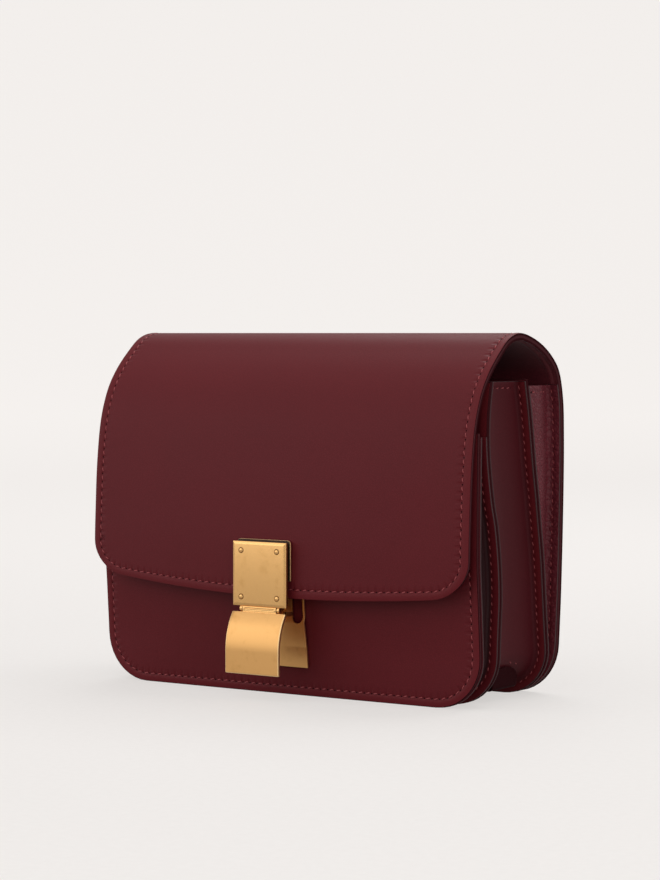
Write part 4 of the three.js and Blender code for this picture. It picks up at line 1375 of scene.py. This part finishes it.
def lever():
    """The front leaf, its sleeve on the pin, and the hook that reaches back."""
    arc = LEAF_RADIUS * LEAF_SWEEP
    total = arc + (LEAF_TOP - LEAF_RADIUS * math.sin(LEAF_SWEEP)) - LEAF_FOOT
    rows = 49
    columns = 15

    def point(row, column):
        y, z = leaf_section(total * (1 - row / (rows - 1)))
        x = CLASP_HALF * (2 * column / (columns - 1) - 1)
        return (x, y - FRONT_FOOT_Y, z), 0, 0

    leaf = grid(rows, columns, point)
    # Its rims get the lighter brass, a painted highlight along the leaf's edges
    for material in (leaf_brass, highlight_rim_brass, plate_brass):
        leaf.data.materials.append(material)
    apply(leaf, "SOLIDIFY", thickness=LEAF_WALL * MM, offset=-1, use_even_offset=True,
          material_offset_rim=1)
    round_edges(leaf, 0.4, 2, 50, material=1)
    sleeve = bar(SLEEVE_RADIUS, SLEEVE_LENGTH, (0, AXIS_Y, AXIS_Z))
    ridge_y = AXIS_Y - RIDGE_FORWARD
    ridges = [bar(RIDGE_RADIUS, SLEEVE_LENGTH, (0, ridge_y, AXIS_Z + up), 24) for up in RIDGE_HEIGHTS]
    collar_place = (SLEEVE_LENGTH - COLLAR_WIDTH) / 2
    collars = [bar(KNUCKLE_RADIUS, COLLAR_WIDTH, (side * collar_place, AXIS_Y, AXIS_Z)) for side in (-1, 1)]
    web = brick((-SLEEVE_LENGTH / 2, PLATE_FACE + 0.3, AXIS_Z - 1.8),
                (SLEEVE_LENGTH / 2, AXIS_Y, AXIS_Z - 0.85))
    hook_back = box_mm("clasp_lever")[1].y
    arm = brick((-HOOK_HALF, AXIS_Y, HOOK_FOOT), (HOOK_HALF, hook_back, HOOK_FOOT + HOOK_WALL))
    tip = brick((-HOOK_HALF, hook_back - HOOK_TIP_WALL, HOOK_FOOT - HOOK_DROP),
                (HOOK_HALF, hook_back, HOOK_FOOT + 0.2))
    for part in (web, arm, tip):
        round_edges(part, 0.15, 2, 40)
    for part in (sleeve, *ridges, *collars, web, arm, tip):
        part.data.materials.append(plate_brass)
    join(leaf, sleeve, *ridges, *collars, web, arm, tip)
    soften(leaf, 32)
    return finish_piece(leaf, "clasp_leaf_and_sleeve", "clasp_leaf", [], ["clasp_lever"])


# Catch plate: heights, windows beside its neck, and the crease across it
CATCH_FOOT = 12.9
CATCH_TOP = 56
CATCH_WALL = 0.8
WINDOW_INNER = 7.8
WINDOW_OUTER = CLASP_HALF - 0.75
WINDOW_FOOT = 32.6
WINDOW_TOP = 50
CATCH_STANDOFF = 0.9
CREASE = 0.9
CREASE_TOP = 33
CREASE_FOOT = 22
CREASE_FALL = 3


def catch():
    """Catch plate: a neck between two windows, a crease, and a keeper bar on cheeks."""
    rows = 97
    columns = 61
    deselect()
    bpy.ops.mesh.primitive_grid_add(x_subdivisions=columns - 1, y_subdivisions=rows - 1, size=1)
    piece = bpy.context.object
    piece.data.transform(Matrix.Diagonal((2 * CLASP_HALF * MM, (CATCH_TOP - CATCH_FOOT) * MM, 1, 1)))
    piece.data.transform(Matrix.Translation((0, (CATCH_TOP + CATCH_FOOT) / 2 * MM, 0)))
    window_radius = (WINDOW_OUTER - WINDOW_INNER) / 2
    # The plate's rims get the lighter brass, a painted highlight along its edges
    for material in (leaf_brass, highlight_rim_brass):
        piece.data.materials.append(material)
    apply(piece, "SOLIDIFY", thickness=CATCH_WALL * MM, offset=0, material_offset_rim=1)
    for side in (-1, 1):
        centre = side * (WINDOW_INNER + window_radius)
        slab = brick((centre - window_radius, WINDOW_FOOT + window_radius, -3),
                     (centre + window_radius, WINDOW_TOP, 3))
        deselect()
        bpy.ops.mesh.primitive_cylinder_add(vertices=48, radius=window_radius * MM, depth=6 * MM,
                                            location=(centre * MM, (WINDOW_FOOT + window_radius) * MM, 0))
        round_end = bpy.context.object
        for tool in (slab, round_end):
            apply(piece, "BOOLEAN", operation="DIFFERENCE", object=tool, solver="EXACT")
            bpy.data.objects.remove(tool, do_unlink=True)
    round_edges(piece, 0.15, 2, 60, material=1)
    for vertex in piece.data.vertices:
        x = vertex.co.x / MM
        z = vertex.co.y / MM
        out = vertex.co.z / MM
        if z > CREASE_TOP:
            crease = CREASE * max(1 - abs(z - CREASE_TOP) / CREASE_FALL, 0)
        else:
            crease = CREASE * max((z - CREASE_FOOT) / (CREASE_TOP - CREASE_FOOT), 0)
        y = front_panel_face(x, z) - GAP - CATCH_STANDOFF - out - crease
        vertex.co = place((x, y, z))
    front = box_mm("catch_plate")[0].y
    keeper_top = HOOK_FOOT - KEEPER_GAP
    keeper_foot = keeper_top - KEEPER_HEIGHT
    keeper = brick((-KEEPER_HALF, front, keeper_foot), (KEEPER_HALF, front + KEEPER_DEPTH, keeper_top))
    seat = front_panel_face(0, keeper_top) + FRONT_FOOT_Y - GAP - 0.6
    cheeks = [
        brick((-KEEPER_HALF, front, keeper_foot), (-KEEPER_HALF + CHEEK_WALL, seat, keeper_top)),
        brick((KEEPER_HALF - CHEEK_WALL, front, keeper_foot), (KEEPER_HALF, seat, keeper_top)),
    ]
    for part in (keeper, *cheeks):
        round_edges(part, 0.2, 2, 40)
        part.data.materials.append(leaf_brass)
    outward(piece)
    join(piece, keeper, *cheeks)
    soften(piece, 30)
    return finish_piece(piece, "catch_plate_and_keeper", "bag", [], ["catch_plate"])


front_plate()
backing_plate()
hinge_pin()
lever()
catch()
for high_low in ("upper", "lower"):
    for side_word in ("left", "right"):
        rivet(f"clasp_rivet_{high_low}_{side_word}")


# Floor, light and camera

# The paper sweep in metres: a flat floor, and a curve up behind it
SWEEP_WIDTH = 12
SWEEP_FRONT = -3
SWEEP_FLAT = 5
SWEEP_CURVED = 4
SWEEP_RADIUS = 2.5
SWEEP_TURN = 33.8

# It glows for the camera as paper on a light table does, more so far from the bag
SWEEP_GLOW_NEAR = 0.6
SWEEP_GLOW_FAR = 0.78
SWEEP_MIRRORED = 0.5

# Strength of the white air round the bag, as its light and as the camera sees it
AIR_LIGHT = 0.46
AIR_SEEN = 0.9
PAPER_WHITE = (1, 0.965, 0.94, 1)


def floor():
    """A pale sweep: floor and a wide curve up behind the bag."""
    deselect()
    bpy.ops.mesh.primitive_grid_add(x_subdivisions=2, y_subdivisions=64, size=1)
    sweep = bpy.context.object
    for vertex in sweep.data.vertices:
        share = vertex.co.y + 0.5
        run = share * (SWEEP_FLAT + SWEEP_CURVED)
        if run < SWEEP_FLAT:
            y = SWEEP_FRONT + run
            z = 0
        else:
            angle = (run - SWEEP_FLAT) / SWEEP_CURVED * math.pi / 2
            y = SWEEP_FRONT + SWEEP_FLAT + SWEEP_RADIUS * math.sin(angle)
            z = SWEEP_RADIUS * (1 - math.cos(angle))
        vertex.co = Vector((vertex.co.x * SWEEP_WIDTH, y, z))
    sweep.data.transform(Matrix.Rotation(math.radians(SWEEP_TURN), 4, "Z"))
    soften(sweep, 60)
    material, tree, shader = new_material("pale_paper_sweep")
    place_at = node(tree, "ShaderNodeTexCoord")
    fibre = node(tree, "ShaderNodeTexNoise", {"Scale": 300, "Detail": 3})
    tone = node(tree, "ShaderNodeMix", {"A": (0.2, 0.195, 0.19, 1), "B": (0.24, 0.234, 0.228, 1)},
                data_type="RGBA")
    seen = node(tree, "ShaderNodeLightPath")
    mirrored = node(tree, "ShaderNodeMath", {1: SWEEP_MIRRORED}, operation="MULTIPLY")
    both = node(tree, "ShaderNodeMath", operation="ADD")
    tree.links.new(seen.outputs["Is Glossy Ray"], mirrored.inputs[0])
    tree.links.new(seen.outputs["Is Camera Ray"], both.inputs[0])
    tree.links.new(mirrored.outputs["Value"], both.inputs[1])
    glow = node(tree, "ShaderNodeMath", operation="MULTIPLY")
    away = node(tree, "ShaderNodeVectorMath", operation="LENGTH")
    even = node(tree, "ShaderNodeMapRange", {"From Min": 0.3, "From Max": 2.5, "To Min": SWEEP_GLOW_NEAR,
                                             "To Max": SWEEP_GLOW_FAR})
    tree.links.new(place_at.outputs["Object"], away.inputs[0])
    tree.links.new(away.outputs["Value"], even.inputs["Value"])
    tree.links.new(even.outputs["Result"], glow.inputs[1])
    tree.links.new(place_at.outputs["Object"], fibre.inputs["Vector"])
    tree.links.new(fibre.outputs["Fac"], tone.inputs["Factor"])
    tree.links.new(tone.outputs["Result"], shader.inputs["Base Color"])
    tree.links.new(both.outputs["Value"], glow.inputs[0])
    tree.links.new(glow.outputs["Value"], shader.inputs["Emission Strength"])
    shader.inputs["Emission Color"].default_value = PAPER_WHITE
    shader.inputs["Roughness"].default_value = 0.9
    sweep.name = "sweep"
    sweep.data.materials.append(material)


def light(name, place_at, target, size, power, colour=(1, 1, 1)):
    deselect()
    bpy.ops.object.light_add(type="AREA", location=place_at)
    lamp = bpy.context.object
    lamp.name = name
    lamp.data.shape = "RECTANGLE"
    lamp.data.size = size[0]
    lamp.data.size_y = size[1]
    lamp.data.energy = power
    lamp.data.color = colour
    lamp.rotation_euler = (Vector(target) - Vector(place_at)).to_track_quat("-Z", "Y").to_euler()


floor()
world = bpy.data.worlds.new("studio")
bpy.context.scene.world = world
world.use_nodes = True
studio_air = world.node_tree.nodes["Background"]
studio_air.inputs["Color"].default_value = PAPER_WHITE
# Past the paper's edge the camera sees a white as pale as the paper
seen_air = node(world.node_tree, "ShaderNodeLightPath")
air_strength = node(world.node_tree, "ShaderNodeMapRange", {"To Min": AIR_LIGHT, "To Max": AIR_SEEN})
world.node_tree.links.new(seen_air.outputs["Is Camera Ray"], air_strength.inputs["Value"])
world.node_tree.links.new(air_strength.outputs["Result"], studio_air.inputs["Strength"])
# Each light's place, what it faces, its width and height in metres and its watts
light("key", (-0.55, -1.45, 1.95), (0, 0, 0.08), (3.2, 2.2), 16)
light("front_card", (-1.1, -1.6, 0.56), (0, 0, 0.06), (3.4, 1.1), 11.5)
light("top", (0, 0.7, 1.3), (0, 0, 0.1), (1.6, 1.0), 12)
light("side", (1.4, 0.1, 0.6), (0, 0, 0.12), (0.5, 0.8), 2.5)
light("right_card", (1.2, -1.05, 0.42), (0, 0, 0.1), (1.1, 0.7), 3.2)
light("rim_card", (0.95, 1.3, 0.4), (0, 0, 0.08), (0.6, 0.7), 1.2)
bpy.context.scene.view_settings.view_transform = "Standard"

deselect()
bpy.ops.object.camera_add(location=(0.6574, -0.9696, 0.160),
                          rotation=(math.radians(90 - 2.348), 0, math.radians(33.81)))
camera = bpy.context.object
camera.name = "photo_camera"
camera.data.lens = 106.74
camera.data.sensor_width = 36
camera.data.sensor_fit = "AUTO"
camera.data.clip_end = 50
bpy.context.scene.camera = camera
